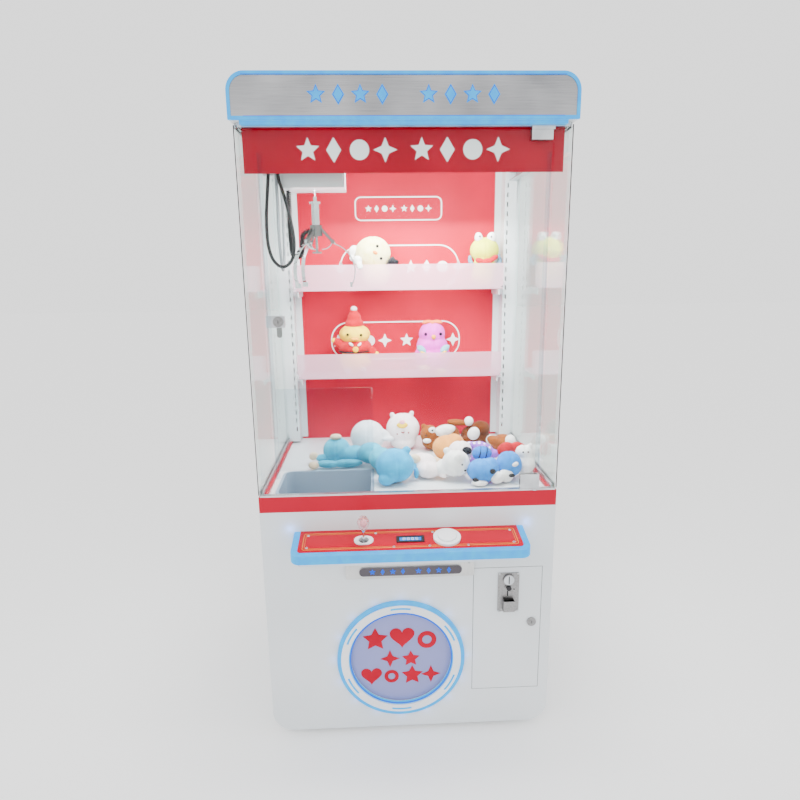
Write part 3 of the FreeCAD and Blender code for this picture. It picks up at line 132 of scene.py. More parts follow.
def brushed_metal(name, light, dark, stretch, rough=(0.22, 0.38)):
    """Stainless sheet brushed along one way: hairlines about 0.3 mm apart, drawn at 1.5 mm."""
    material, tree = new_material(name)
    lines = add_node(tree, "Mapping", {"Scale": stretch}, {"Vector": object_place(tree)})
    hair = noise(tree, 700.0, 3.0, 0.6, lines.outputs["Vector"])
    both = sums(tree, "ADD", sums(tree, "MULTIPLY", hair, 0.35), noise(tree, 5.0, 2.0))
    colour = ramp(tree, both, ((0.45, dark), (0.85, light)))
    gloss = add_node(tree, "MapRange", {"To Min": rough[0], "To Max": rough[1]}, {"Value": hair})
    return surfaced(material, add_node(
        tree, "BsdfPrincipled", {"Metallic": 1.0},
        {"Base Color": colour, "Roughness": gloss.outputs[0], "Normal": bumps(tree, hair, 0.12, 0.0002)}))


def plated_metal(name, light, dark, rough, grain=60.0):
    """Plated, anodised or galvanised metal: a slow mottle in colour and gloss."""
    material, tree = new_material(name)
    mottle = noise(tree, grain, 3.0)
    colour = ramp(tree, mottle, ((0.35, dark), (0.65, light)))
    gloss = add_node(tree, "MapRange", {"To Min": rough * 0.8, "To Max": rough * 1.25}, {"Value": mottle})
    return surfaced(material, add_node(tree, "BsdfPrincipled", {"Metallic": 1.0},
                                       {"Base Color": colour, "Roughness": gloss.outputs[0]}))


def gloss_plastic(name, light, dark, rough=0.18, coat=0.1, grain=900.0, bump_depth=0.02, shine=0.4):
    """Moulded ABS or cast acrylic: smooth skin, very faint flow marks."""
    material, tree = new_material(name)
    colour = ramp(tree, noise(tree, 6.0, 2.0), ((0.3, dark), (0.7, light)))
    skin = bumps(tree, noise(tree, grain, 1.0), bump_depth, 0.0003)
    return surfaced(material, add_node(
        tree, "BsdfPrincipled",
        {"Roughness": rough, "IOR": 1.49, "Coat Weight": coat, "Coat Roughness": 0.04,
         "Specular IOR Level": shine}, {"Base Color": colour, "Normal": skin}))


def lit_plastic(name, bright, deep, power):
    """Opal acrylic with light emitting diodes behind it: spots 16 mm apart blur into a band."""
    material, tree = new_material(name)
    colour = ramp(tree, noise(tree, 38.0, 1.0), ((0.25, deep), (0.75, bright)))
    return surfaced(material, add_node(
        tree, "BsdfPrincipled",
        {"Base Color": linear("#0a5a96"), "Roughness": 0.45, "Specular IOR Level": 0.1,
         "Emission Strength": power}, {"Emission Color": colour}))


def clear_pane(name, tint, gleam):
    """Float glass or cast acrylic sheet: clear, with its surface reflection only."""
    material, tree = new_material(name)
    through = add_node(tree, "BsdfTransparent", {"Color": linear(tint)})
    mirror = add_node(tree, "BsdfGlossy", {"Color": (1, 1, 1, 1), "Roughness": 0.02})
    share = add_node(tree, "LayerWeight", {"Blend": gleam})
    return surfaced(material, add_node(
        tree, "MixShader", links={0: share.outputs["Facing"], 1: through.outputs[0], 2: mirror.outputs[0]}))


def frosted_sheet(name, tint, rough, clear):
    """Frosted acrylic or polycarbonate: scatters what is behind it, with a milky skin."""
    material, tree = new_material(name)
    frost = bumps(tree, noise(tree, 1200.0, 2.0), 0.08, 0.0002)
    milk = add_node(tree, "BsdfTranslucent", {"Color": linear(tint)})
    skin = add_node(tree, "BsdfPrincipled", {"Base Color": linear(tint), "Roughness": rough, "IOR": 1.49},
                    {"Normal": frost})
    body = add_node(tree, "MixShader", {0: 0.5}, {1: milk.outputs[0], 2: skin.outputs[0]})
    through = add_node(tree, "BsdfTransparent", {"Color": (0.97, 0.95, 0.97, 1)})
    return surfaced(material, add_node(tree, "MixShader", {0: 1 - clear},
                                       {1: through.outputs[0], 2: body.outputs[0]}))


def crystal(name, tint):
    """Cast crystal acrylic: clear, slightly tinted, bends what is behind it."""
    material, tree = new_material(name)
    return surfaced(material, add_node(
        tree, "BsdfPrincipled",
        {"Base Color": linear(tint), "Roughness": 0.04, "IOR": 1.49, "Transmission Weight": 0.92}))


def soft_rubber(name, light, dark, rough=0.45):
    """PVC cord jacket or rubber: dull sheen, fine moulding texture."""
    material, tree = new_material(name)
    grain = noise(tree, 700.0, 2.0)
    colour = ramp(tree, grain, ((0.3, dark), (0.7, light)))
    return surfaced(material, add_node(
        tree, "BsdfPrincipled", {"Roughness": rough, "IOR": 1.5},
        {"Base Color": colour, "Normal": bumps(tree, grain, 0.15, 0.0002)}))


def plush_pile(name, light, dark, dots=None):
    """Short polyester pile, 2 mm long: tufts drawn at 3 mm, brushed patches, a bright rim of fibre ends."""
    material, tree = new_material(name)
    tufts = noise(tree, 520.0, 4.0, 0.7)
    cells = add_node(tree, "TexVoronoi", {"Scale": 380.0}, {"Vector": object_place(tree)})
    pile = bumps(tree, sums(tree, "ADD", tufts, cells.outputs["Distance"]), 0.55, 0.0012)
    mixed = sums(tree, "ADD", sums(tree, "MULTIPLY", tufts, 0.45), noise(tree, 45.0, 3.0))
    colour = ramp(tree, mixed, ((0.45, dark), (0.9, light)))
    if dots:
        spots = add_node(tree, "TexVoronoi", {"Scale": 62.0, "Randomness": 0.35},
                         {"Vector": object_place(tree)})
        inside = sums(tree, "LESS_THAN", spots.outputs["Distance"], 0.3)
        colour = add_node(tree, "Mix", {7: linear(dots)}, {0: inside, 6: colour}, data_type="RGBA").outputs[2]
    return surfaced(material, add_node(
        tree, "BsdfPrincipled",
        {"Roughness": 0.95, "Sheen Weight": 0.12, "Sheen Roughness": 0.5, "Specular IOR Level": 0.05},
        {"Base Color": colour, "Normal": pile}))


white_steel = powder_coat("white powder-coated steel", "#d9dde0", "#d0d5d8")
dark_steel = powder_coat("grey powder-coated steel frame", "#565a5f", "#45484d", 0.5)
red_enamel = powder_coat("red stoved enamel", "#b8072e", "#aa0526", 0.4, 0.12)
grey_duct = powder_coat("blue-grey chute enamel", "#93a6bb", "#8296ac", 0.42)
stainless = brushed_metal("brushed stainless header sheet", "#b4b4b6", "#828387", (0.02, 1.0, 1.0))
brushed_upright = brushed_metal("brushed stainless fittings", "#d8d8d6", "#a9aaab", (1.0, 1.0, 0.03))
zinc = plated_metal("zinc-plated steel", "#c9cbcc", "#9fa3a6", 0.32)
anodised = plated_metal("satin anodised aluminium", "#d4d7da", "#bcc0c4", 0.3, 25.0)
chrome = plated_metal("bright chrome plate", "#eef0f2", "#dcdfe2", 0.07, 12.0)
dark_die_cast = plated_metal("nickel-plated coin plate", "#9b9a9a", "#868585", 0.36, 300.0)
white_abs = gloss_plastic("white moulded ABS", "#e6e8eb", "#dcdfe3")
black_abs = gloss_plastic("black moulded ABS", "#1c1d20", "#121316", 0.4, 0.05, 700.0, 0.15)
red_acrylic = gloss_plastic("red cast acrylic", "#ac0426", "#9c031f", 0.16, 0.0, shine=0.14)
red_panel = gloss_plastic("red back-painted panel", "#c00632", "#ae052a", 0.35, 0.0, shine=0.1)
white_vinyl = gloss_plastic("white cut vinyl", "#f7f7f7", "#efefef", 0.35, 0.1)
red_vinyl = gloss_plastic("red cut vinyl", "#b8062c", "#a60424", 0.5, 0.0, shine=0.1)
gold_vinyl = gloss_plastic("gold cut vinyl", "#e09a38", "#cc8428", 0.4, 0.0, shine=0.15)
cyan_light = lit_plastic("opal acrylic lit cyan", "#06c6ff", "#00a8fa", 1.15)
blue_light = lit_plastic("opal acrylic lit blue", "#0a24ff", "#061af0", 1.0)
glass = clear_pane("clear float glass", "#fafdfc", 0.09)
clear_acrylic = clear_pane("clear acrylic guard", "#f4f8fa", 0.06)
shelf_acrylic = frosted_sheet("frosted acrylic shelf", "#ffdcec", 0.45, 0.5)
flap_sheet = frosted_sheet("frosted polycarbonate flap", "#b9bdf0", 0.35, 0.12)
pink_crystal = crystal("pink crystal acrylic", "#ffe6e8")
cord_black = soft_rubber("black PVC cord", "#1d1d1f", "#0f0f11")
cable_grey = soft_rubber("grey PVC cable", "#8b8f94", "#7a7e83", 0.5)
gap_shade_rubber = soft_rubber("dark rubber", "#2b2b2d", "#1b1b1d", 0.7)

# node names by finish
finishes = (
    (white_steel, "base_wrap front_panel rear_panel header_shell console_body coin_door rear_uprights "
                  "trolley_cover"),
    (dark_steel, "base_frame"),
    (zinc, "levelling_feet hinge_pins cash_box trolley_frame claw_plunger joystick_gimbal"),
    (red_enamel, "waist_band"),
    (white_abs, "playfield_deck prize_ring control_housings hoist_cord button_plunger"),
    (grey_duct, "chute_duct prize_bin"),
    (clear_acrylic, "chute_guard"),
    (glass, "fixed_glass glass_door"),
    (anodised, "glass_frame door_hardware gantry_rails bridge_frame"),
    (dark_die_cast, "glass_lock_core claw_hub coin_mechanism coin_lock_core"),
    (stainless, "header_face"),
    (cyan_light, "header_lights prize_ring_lights console_light_band"),
    (red_acrylic, "inner_sign console_top"),
    (red_panel, "back_panel"),
    (shelf_acrylic, "shelves"),
    (flap_sheet, "prize_flap"),
    (black_abs, "display power_unit power_switch winch_drum coin_reject_button"),
    (brushed_upright, "badge_board"),
    (chrome, "claw_head claw_finger_1 claw_finger_2 claw_finger_3 joystick_shaft"),
)
for material, names in finishes:
    for name in names.split():
        nodes[name].data.materials.clear()
        nodes[name].data.materials.append(material)


# ---- modelling steps ----
def only(piece):
    """Selects one object and nothing else."""
    bpy.ops.object.select_all(action="DESELECT")
    piece.select_set(True)
    bpy.context.view_layer.objects.active = piece


def pick_faces(test):
    """In edit mode, selects the faces that pass a test and nothing else."""
    bpy.ops.mesh.select_mode(type="FACE")
    bpy.ops.mesh.select_all(action="DESELECT")
    shape = bmesh.from_edit_mesh(bpy.context.object.data)
    for face in shape.faces:
        if test(face):
            face.select_set(True)
    bmesh.update_edit_mesh(bpy.context.object.data)


def settle(piece):
    """Puts a piece's place, turn and size into its mesh."""
    only(piece)
    bpy.ops.object.transform_apply(location=True, rotation=True, scale=True)


def added(primitive, **traits):
    """A new primitive, alone in the selection."""
    bpy.ops.object.select_all(action="DESELECT")
    primitive(**traits)
    return bpy.context.object


def thicken(thick):
    """In edit mode, pushes the whole flat piece upwards into a plate and leaves edit mode."""
    bpy.ops.mesh.select_all(action="SELECT")
    bpy.ops.mesh.extrude_region_move(TRANSFORM_OT_translate={"value": (0, 0, thick)})
    bpy.ops.mesh.select_all(action="SELECT")
    bpy.ops.mesh.normals_make_consistent(inside=False)
    bpy.ops.object.mode_set(mode="OBJECT")


def fit(piece, kind, **traits):
    """Adds one modifier and applies it."""
    only(piece)
    made = piece.modifiers.new(kind.title(), kind)
    for name, value in traits.items():
        setattr(made, name, value)
    bpy.ops.object.modifier_apply(modifier=made.name)


def mount(piece, name, body, material, smooth=None):
    """Names a finished piece, gives it its material and fixes it to a body."""
    settle(piece)
    piece.name = name
    piece.data.materials.clear()
    piece.data.materials.append(material)
    if smooth is not None:
        bpy.ops.object.shade_smooth_by_angle(angle=math.radians(smooth))
    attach(piece, body)
    return piece


def copied(piece):
    """A copy with its own mesh."""
    only(piece)
    bpy.ops.object.duplicate(linked=False)
    return bpy.context.object


def joined(pieces):
    """Several pieces made one."""
    only(pieces[0])
    for piece in pieces[1:]:
        piece.select_set(True)
    bpy.ops.object.join()
    return bpy.context.object


def bar(low, high, edge):
    """Rectangular bar between two corners with softened edges."""
    centre = [(a + b) / 2 for a, b in zip(low, high)]
    piece = added(bpy.ops.mesh.primitive_cube_add, size=1, location=centre)
    piece.scale = [b - a for a, b in zip(low, high)]
    settle(piece)
    if edge:
        fit(piece, "BEVEL", width=edge, segments=2)
    return piece


def plate_from(points, radius, thick):
    """Flat n-sided plate on the floor plane, front face up, thick downwards."""
    piece = added(bpy.ops.mesh.primitive_circle_add, vertices=points, radius=radius, fill_type="NGON")
    bpy.ops.object.mode_set(mode="EDIT")
    thicken(thick)
    return piece


def star_plate(points, outer, inner, thick, turn=0.0):
    """Star-shaped plate: every other corner of a plate is drawn in."""
    piece = plate_from(points * 2, outer, thick)
    for corner in piece.data.vertices:
        angle = (math.degrees(math.atan2(corner.co.y, corner.co.x)) - 90) % 360
        step = round(angle / (180.0 / points))
        if step % 2:
            corner.co.x *= inner / outer
            corner.co.y *= inner / outer
    piece.data.transform(Matrix.Rotation(math.radians(turn), 4, "Z"))
    return piece


def heart_plate(size, thick):
    """Heart-shaped plate."""
    piece = plate_from(40, 1.0, thick)
    for corner in piece.data.vertices:
        t = math.atan2(corner.co.y, corner.co.x) - math.pi / 2
        corner.co.x = -size * math.sin(t) ** 3
        corner.co.y = size * (13 * math.cos(t) - 5 * math.cos(2 * t) - 2 * math.cos(3 * t)
                              - math.cos(4 * t)) / 16
    return piece


def rounded_sheet(width, height, corner, segments):
    """Flat rectangle on the floor plane with round corners, centred, left in edit mode."""
    piece = added(bpy.ops.mesh.primitive_plane_add, size=1)
    piece.scale = (width, height, 1)
    settle(piece)
    bpy.ops.object.mode_set(mode="EDIT")
    bpy.ops.mesh.select_all(action="SELECT")
    bpy.ops.mesh.bevel(affect="VERTICES", offset=corner, segments=segments)
    return piece


def round_strip(width, height, corner, strip, thick, segments):
    """Outline strip of a rounded rectangle on the floor plane, centred."""
    piece = rounded_sheet(width, height, corner, segments)
    bpy.ops.mesh.select_mode(type="FACE")
    bpy.ops.mesh.select_all(action="SELECT")
    bpy.ops.mesh.inset(thickness=strip)
    bpy.ops.mesh.delete(type="FACE")
    thicken(thick)
    return piece


def screw_head(radius, height):
    """Pan-head screw, head up, with a cross recess."""
    head = added(bpy.ops.mesh.primitive_cylinder_add, vertices=24, radius=radius, depth=height,
                 location=(0, 0, height / 2))
    bpy.ops.object.mode_set(mode="EDIT")
    pick_faces(lambda face: face.normal.z > 0.9)
    bpy.ops.mesh.bevel(offset=height * 0.55, segments=3, affect="EDGES")
    bpy.ops.object.mode_set(mode="OBJECT")
    for turn in (0, 90):
        cutter = bar((-radius * 0.6, -radius * 0.12, height * 0.45),
                     (radius * 0.6, radius * 0.12, height * 2), 0)
        cutter.rotation_euler[2] = math.radians(turn)
        fit(head, "BOOLEAN", operation="DIFFERENCE", object=cutter, solver="EXACT")
        bpy.data.objects.remove(cutter)
    return head


FACING = Matrix.Rotation(math.radians(90), 4, "X")       # floor plane to the machine's front


# ---- places read from the frame ----
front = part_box("front_panel")[0][1]


def depth(d):
    """Y of a plane d millimetres behind the front panel's face."""
    return front + d * MM


# ---- camera and light ----
view_data = bpy.data.cameras.new("view")
view_data.lens = 26.5
view_data.sensor_width = 36
camera = bpy.data.objects.new("view", view_data)
bpy.context.scene.collection.objects.link(camera)
camera.location = (-0.0869, -1.919, 1.4327)
camera.rotation_euler = (Matrix.Rotation(math.radians(-2.323), 3, "Z")
                         @ Matrix.Rotation(math.radians(90 - 12.65), 3, "X")
                         @ Matrix.Rotation(math.radians(-0.731), 3, "Z")).to_euler()
bpy.context.scene.camera = camera

floor = added(bpy.ops.mesh.primitive_plane_add, size=40, location=(0, 0, 0))
floor.name = "floor"
floor_paint, floor_tree = new_material("pale studio floor")
floor.data.materials.append(surfaced(floor_paint, add_node(
    floor_tree, "BsdfPrincipled", {"Base Color": (0.93, 0.93, 0.93, 1), "Roughness": 0.9,
                                   "Emission Color": (1, 1, 1, 1), "Emission Strength": 0.15})))

world = bpy.data.worlds.new("studio")
world.use_nodes = True
backdrop = world.node_tree.nodes["Background"]
backdrop.inputs["Color"].default_value = (1, 1, 1, 1)
backdrop.inputs["Strength"].default_value = 1.75
bpy.context.scene.world = world


def lamp(name, kind, place, power, aim=None, **traits):
    """One lamp that the camera and the reflections don't see."""
    data = bpy.data.lights.new(name, kind)
    data.energy = power
    for trait, value in traits.items():
        setattr(data, trait, value)
    made = bpy.data.objects.new(name, data)
    bpy.context.scene.collection.objects.link(made)
    made.location = place
    if aim is not None:
        made.rotation_euler = (Vector(aim) - Vector(place)).to_track_quat("-Z", "Y").to_euler()
    made.visible_camera = False
    made.visible_glossy = False


def glow(name, place, power):
    """Small blue lamp that stands for the light spilling from a lit strip."""
    lamp(name, "POINT", place, power, shadow_soft_size=0.006, color=(0.10, 0.30, 1.0))


lamp("key", "AREA", (-1.8, -3.0, 3.2), 45, (0, 0, 1.0), size=2.4)
lamp("fill", "AREA", (2.4, -2.6, 1.8), 18, (0, 0, 0.9), size=2.6)
lamp("showcase_lamp", "AREA", (0, depth(90), 1.66), 24, (0, depth(600), 1.25), size=0.6)
lamp("deck_lamp", "AREA", (0.05, depth(280), 1.60), 16, (0.05, depth(280), 0.8), size=0.6)

ring_lo, ring_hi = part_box("prize_ring")
ring_x, ring_z = (ring_lo[0] + ring_hi[0]) / 2, (ring_lo[2] + ring_hi[2]) / 2
GLOW_R = 0.204      # circle of the lamps round the prize ring
for i in range(16):
    angle = 2 * math.pi * i / 16
    glow("prize_glow_%d" % i, (ring_x + GLOW_R * math.cos(angle), depth(-16),
                               ring_z + GLOW_R * math.sin(angle)), 0.011)
for x in (-0.345, 0.345):
    glow("console_glow", (x, depth(-14), 0.700), 0.03)
for i in range(9):
    glow("header_glow_%d" % i, ((i - 4) * 0.098, depth(10), 1.786), 0.022)


# ---- signs ----
def shape_row(count, size, pitch, thick):
    """Plain shapes in a row about the middle: star, diamond, disc, four-point star."""
    row = []
    for i in range(count):
        kind = i % 4
        if kind == 0:
            piece = star_plate(5, size, size * 0.45, thick)
        elif kind == 1:
            piece = star_plate(2, size, size * 0.62, thick)
        elif kind == 2:
            piece = plate_from(32, size * 0.8, thick)
        else:
            piece = star_plate(4, size, size * 0.42, thick)
        piece.data.transform(Matrix.Translation(((i - (count - 1) / 2) * pitch, 0, 0)))
        row.append(piece)
    return row


def stand_up(piece, x, y, z):
    """Stands a floor-plane piece up at a place, facing the player."""
    settle(piece)
    piece.data.transform(Matrix.Translation((x, y, z)) @ FACING)
    return piece


sign_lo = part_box("inner_sign")[0]
for label, x in (("left", -0.150), ("right", 0.142)):
    row = joined(shape_row(4, 0.031, 0.066, 0.0012))
    fit(row, "BEVEL", width=0.0004, segments=1)
    stand_up(row, x, sign_lo[1] - 0.0002, sign_lo[2] + 0.056)
    mount(row, "inner_sign_shapes_" + label, "cabinet", white_vinyl)

back_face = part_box("back_panel")[0][1] - 0.0002
# place, size, corner radius and size of the shapes of each outlined panel
frames = ((0.0065, 1.641, 0.315, 0.084, 0.022, 0.013),
          (0.0085, 1.435, 0.437, 0.160, 0.075, 0.026),
          (-0.010, 1.166, 0.486, 0.143, 0.066, 0.026))
for i, (x, z, width, height, corner, size) in enumerate(frames):
    outline = round_strip(width, height, corner, 0.0045, 0.0006, 10)
    row = shape_row(8, size, size * 2.25, 0.0006)
    for j, piece in enumerate(row):
        piece.data.transform(Matrix.Translation(((j > 3) * size * 0.9 - size * 0.45, 0, 0)))
    outline = joined([outline] + row)
    stand_up(outline, x, back_face, z)
    mount(outline, "back_panel_outline_%d" % (i + 1), "cabinet", white_vinyl)

# blue core and dark outline of the shapes cut in the header
face_lo, face_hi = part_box("header_face")
header_z = (face_lo[2] + face_hi[2]) / 2 + 0.002
cores = [[], []]
for group in (-1, 1):
    for i in range(4):
        x = group * 0.138 + (i - 1.5) * 0.054
        for layer, grow in enumerate((1.0, 0.84)):
            if i % 2 == 0:
                core = star_plate(5, 0.0222 * grow, 0.0102 * grow, 0.0006)
            else:
                core = star_plate(2, 0.0222 * grow, 0.0138 * grow, 0.0006)
            stand_up(core, x, face_lo[1] - 0.0009 - 0.0007 * layer, header_z)
            cores[layer].append(core)
mount(joined(cores[0]), "header_shape_edges", "cabinet", blue_light)
mount(joined(cores[1]), "header_shape_faces", "cabinet", cyan_light)
lights_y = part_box("header_lights")[0][1]
lines = []
for z in (face_lo[2] - 0.0008, face_hi[2] - 0.0004):
    lines.append(bar((face_lo[0] + 0.030, lights_y - 0.0006, z),
                     (face_hi[0] - 0.030, lights_y - 0.0001, z + 0.0012), 0))
mount(joined(lines), "header_blue_lines", "cabinet", blue_light)

# figures on the prize flap: three, two and four, kept to plain shapes
flap_lo, flap_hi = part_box("prize_flap")
flap_x, flap_z = (flap_lo[0] + flap_hi[0]) / 2, 0.264
figures = []
for x, z, kind, size in ((-78, 62, "star", 40), (4, 70, "heart", 40), (80, 56, "ring", 34),
                         (-34, -6, "drop", 30), (30, -8, "star", 28),
                         (-92, -62, "heart", 34), (-30, -68, "ring", 26), (34, -66, "star", 34),
                         (92, -64, "drop", 30)):
    if kind == "star":
        figure = star_plate(5, size * MM, size * 0.5 * MM, 0.0007)
    elif kind == "heart":
        figure = heart_plate(size * 0.95 * MM, 0.0007)
    elif kind == "drop":
        figure = star_plate(4, size * MM, size * 0.4 * MM, 0.0007)
    else:
        figure = round_strip(size * 1.7 * MM, size * 1.7 * MM, size * 0.84 * MM, size * 0.42 * MM, 0.0007, 14)
    stand_up(figure, flap_x + x * MM, flap_lo[1] - 0.0002, flap_z + z * MM)
    figures.append(figure)
mount(joined(figures), "flap_figures", "prize_flap", red_vinyl)


# ---- console trim ----
slope = math.radians(9.3)
console_back_z = 0.691
stripe_down, display_down = 53, 55       # centre lines of the pinstripes and the display
on_console = Matrix.Translation((0, front, console_back_z)) @ Matrix.Rotation(slope, 4, "X")


def lay_on_console(piece, x, down, height=0.0):
    """Lays a floor-plane piece on the sloped top, down from its back edge, in millimetres."""
    settle(piece)
    piece.data.transform(on_console @ Matrix.Translation((x * MM, -down * MM, height * MM)))
    return piece


for name, width, height, corner, strip in (("console_pinstripe", 0.606, 0.077, 0.007, 0.0016),
                                           ("console_pinstripe_inner", 0.594, 0.065, 0.005, 0.0007)):
    stripe = lay_on_console(round_strip(width, height, corner, strip, 0.0004, 6), 0, stripe_down)
    mount(stripe, name, "cabinet", gold_vinyl)

screws = []
head = screw_head(0.0042, 0.0022)
for x, down in ((-290, 25), (-98, 22), (-48, 88), (52, 88), (66, 24), (290, 25), (-290, 82), (290, 82),
                (160, 90)):
    screws.append(lay_on_console(copied(head), x, down))
mount(joined(screws), "console_screws", "cabinet", chrome, 40)
bpy.data.objects.remove(head)

# lit display window with seven-bar digits
window_paint = lit_plastic("blue display glow", "#2a86ff", "#1c6cf0", 0.7)
pane = bar((-0.031, -0.0075, 0), (0.031, 0.0075, 0.0006), 0.0002)
lay_on_console(pane, 0, display_down, 1.5)
mount(pane, "display_window", "cabinet", window_paint)
digits = []
for x in (-18, -6, 6, 18):
    for bx, by, w, h in ((0, 5, 5, 1), (0, 0, 5, 1), (0, -5, 5, 1), (-3, 2.5, 1, 4), (3, 2.5, 1, 4),
                         (-3, -2.5, 1, 4), (3, -2.5, 1, 4)):
        stroke = bar(((x + bx - w / 2) * MM, (by - h / 2) * MM, 0),
                     ((x + bx + w / 2) * MM, (by + h / 2) * MM, 0.0003), 0)
        digits.append(lay_on_console(stroke, 0, display_down, 2.1))
mount(joined(digits), "display_digits", "cabinet", white_vinyl)

# faceted crystal knob: egg of flat facets with a smaller faceted core inside
knob_lo, knob_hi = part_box("joystick_knob")
centre = [(a + b) / 2 for a, b in zip(knob_lo, knob_hi)]
knob_core = gloss_plastic("pink knob core", "#f3b3bd", "#e08c9a")
for name, scale, material in (("crystal_knob", 1.0, pink_crystal), ("crystal_knob_core", 0.42, knob_core)):
    knob = added(bpy.ops.mesh.primitive_ico_sphere_add, subdivisions=3, radius=0.0172 * scale)
    bpy.ops.object.mode_set(mode="EDIT")
    bpy.ops.mesh.select_all(action="SELECT")
    bpy.ops.transform.resize(value=(1, 1, 1.36))
    bpy.ops.object.mode_set(mode="OBJECT")
    for corner in knob.data.vertices:
        if corner.co.z < 0:
            narrow = 1 - 0.42 * (corner.co.z / (-0.0234 * scale)) ** 2
            corner.co.x *= narrow
            corner.co.y *= narrow
    fit(knob, "DECIMATE", ratio=0.34)
    knob.data.transform(Matrix.Translation(centre) @ Matrix.Rotation(slope, 4, "X"))
    mount(knob, name, "joystick", material)
    if scale == 1.0:
        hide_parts("joystick_knob")


def curve_tube(name, points, radius, resolution=4):
    """Round tube along one smooth line through control points."""
    line = bpy.data.curves.new(name, "CURVE")
    line.dimensions = "3D"
    line.bevel_depth = radius
    line.bevel_resolution = resolution
    line.use_fill_caps = True
    spline = line.splines.new("NURBS")
    spline.points.add(len(points) - 1)
    for spot, place in zip(spline.points, points):
        spot.co = (*place, 1)
    spline.order_u = 3
    spline.use_endpoint_u = True
    piece = bpy.data.objects.new(name, line)
    bpy.context.scene.collection.objects.link(piece)
    return piece


def line_of(points):
    """Places along the smooth line of some control points."""
    probe = curve_tube("probe", points, 0.0)
    mesh = bpy.data.meshes.new_from_object(probe)
    places = [corner.co.copy() for corner in mesh.vertices]
    bpy.data.objects.remove(probe)
    return places


# ---- cords ----
def millimetres(*points):
    return [tuple(v * MM for v in point) for point in points]


def line_length(places):
    return sum((b - a).length for a, b in zip(places, places[1:]))


coil_route = millimetres(
    (-318, -194, 1645), (-318, -194, 1600), (-319, -195, 1556), (-318, -194, 1514), (-317, -193, 1492),
    (-316, -194, 1474), (-308, -194, 1466), (-296, -194, 1466), (-288, -194, 1474), (-288, -194, 1498),
    (-286, -194, 1522), (-277, -194, 1537), (-263.3, -194, 1537))
centre_line = line_of(coil_route)


def curly(places, radius, pitch, per_turn=12):
    """Control points of a helix wound about a line, drawn in to the line at both ends."""
    total = line_length(places)
    turns = int(total / pitch)
    steps = turns * per_turn
    walked, index = 0.0, 0
    made = []
    side = Vector((0, 1, 0))
    for i in range(steps + 1):
        goal = total * i / steps
        while index < len(places) - 2 and walked + (places[index + 1] - places[index]).length < goal:
            walked += (places[index + 1] - places[index]).length
            index += 1
        run = places[index + 1] - places[index]
        here = places[index] + run.normalized() * (goal - walked)
        along = run.normalized()
        across = (side - along * side.dot(along)).normalized()
        other = along.cross(across)
        angle = 2 * math.pi * i / per_turn
        swell = min(1.0, i / 10, (steps - i) / 10)
        made.append(here + (across * math.cos(angle) + other * math.sin(angle)) * radius * swell)
    return made


helix = curly(centre_line, 0.0060, 0.0046)
coil = curve_tube("claw_curly_cord", helix, 0.0018, 2)
coil.data.resolution_u = 2
coil.data.materials.append(cord_black)
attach(coil, "trolley")
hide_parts("claw_cord")
helix_line = line_of(helix)

trolley_route = millimetres(
    (-358, -263, 1742), (-358, -263, 1692), (-363, -263, 1642), (-369, -264, 1592), (-372, -263, 1542),
    (-371, -263, 1494), (-360, -262, 1454), (-334, -263, 1434), (-307, -262, 1454), (-299, -263, 1494),
    (-303, -264, 1542), (-313, -263, 1590), (-324, -263, 1636), (-336, -263, 1670), (-336, -263, 1706))
bridge_route = millimetres(
    (-354, -168, 1714), (-354, -168, 1662), (-353, -170, 1610), (-354, -170, 1556), (-354, -167, 1502),
    (-353, -158, 1452), (-354, -132, 1424), (-355, -90, 1448), (-354, -78, 1498), (-354, -76, 1552),
    (-353, -75, 1606), (-354, -78, 1652), (-354, -78, 1700))
for node, body, route, paint in (("trolley_cable", "bridge", trolley_route, cord_black),
                                 ("bridge_cable", "cabinet", bridge_route, cable_grey)):
    cable = curve_tube(node + "_jacket", route, 0.0045)
    cable.data.materials.append(paint)
    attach(cable, body)
    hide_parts(node)
    line_length(line_of(route))


# ---- prize door, badge and coin plate trim ----
inner_glow = round_strip(0.314, 0.314, 0.1565, 0.004, 0.0012, 40)
stand_up(inner_glow, ring_x, depth(-7.9), ring_z)
mount(inner_glow, "prize_ring_blue_line", "cabinet", blue_light)

badge_lo, badge_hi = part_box("badge_board")
badge_x, badge_z = (badge_lo[0] + badge_hi[0]) / 2 + 0.0015, (badge_lo[2] + badge_hi[2]) / 2 + 0.0005
dark_bar = rounded_sheet(badge_hi[0] - badge_lo[0] - 0.076, badge_hi[2] - badge_lo[2] - 0.018, 0.0125, 8)
thicken(0.0005)
stand_up(dark_bar, badge_x, depth(-11.05), badge_z)
smoked = gloss_plastic("smoked acrylic bar", "#4a434b", "#3a343c", 0.25, 0.3)
mount(dark_bar, "badge_bar_cover", "cabinet", smoked)
marks = []
for i in range(8):
    points, inner = ((5, 0.0047), (2, 0.0060))[i % 2]
    mark = star_plate(points, 0.0098, inner, 0.0007)
    x = badge_x + ((i - 3.5) * 30 + (8 if i > 3 else -8)) * MM
    marks.append(stand_up(mark, x, depth(-11.6), badge_z))
mount(joined(marks), "badge_lit_marks", "cabinet", blue_light)

# screws, one head copied to every place that has one
head = screw_head(0.0032, 0.0018)
front_screws = []
for x, d, z in ((-420, 0, 1812), (420, 0, 1812),
                (-118, -8, 580), (176, -8, 580),
                (269, -3, 536), (325, -3, 536), (269, -3, 413), (325, -3, 413)):
    front_screws.append(stand_up(copied(head), x * MM, depth(d) - 0.0001, z * MM))
mount(joined(front_screws), "front_screws", "cabinet", zinc, 40)
bpy.data.objects.remove(head)


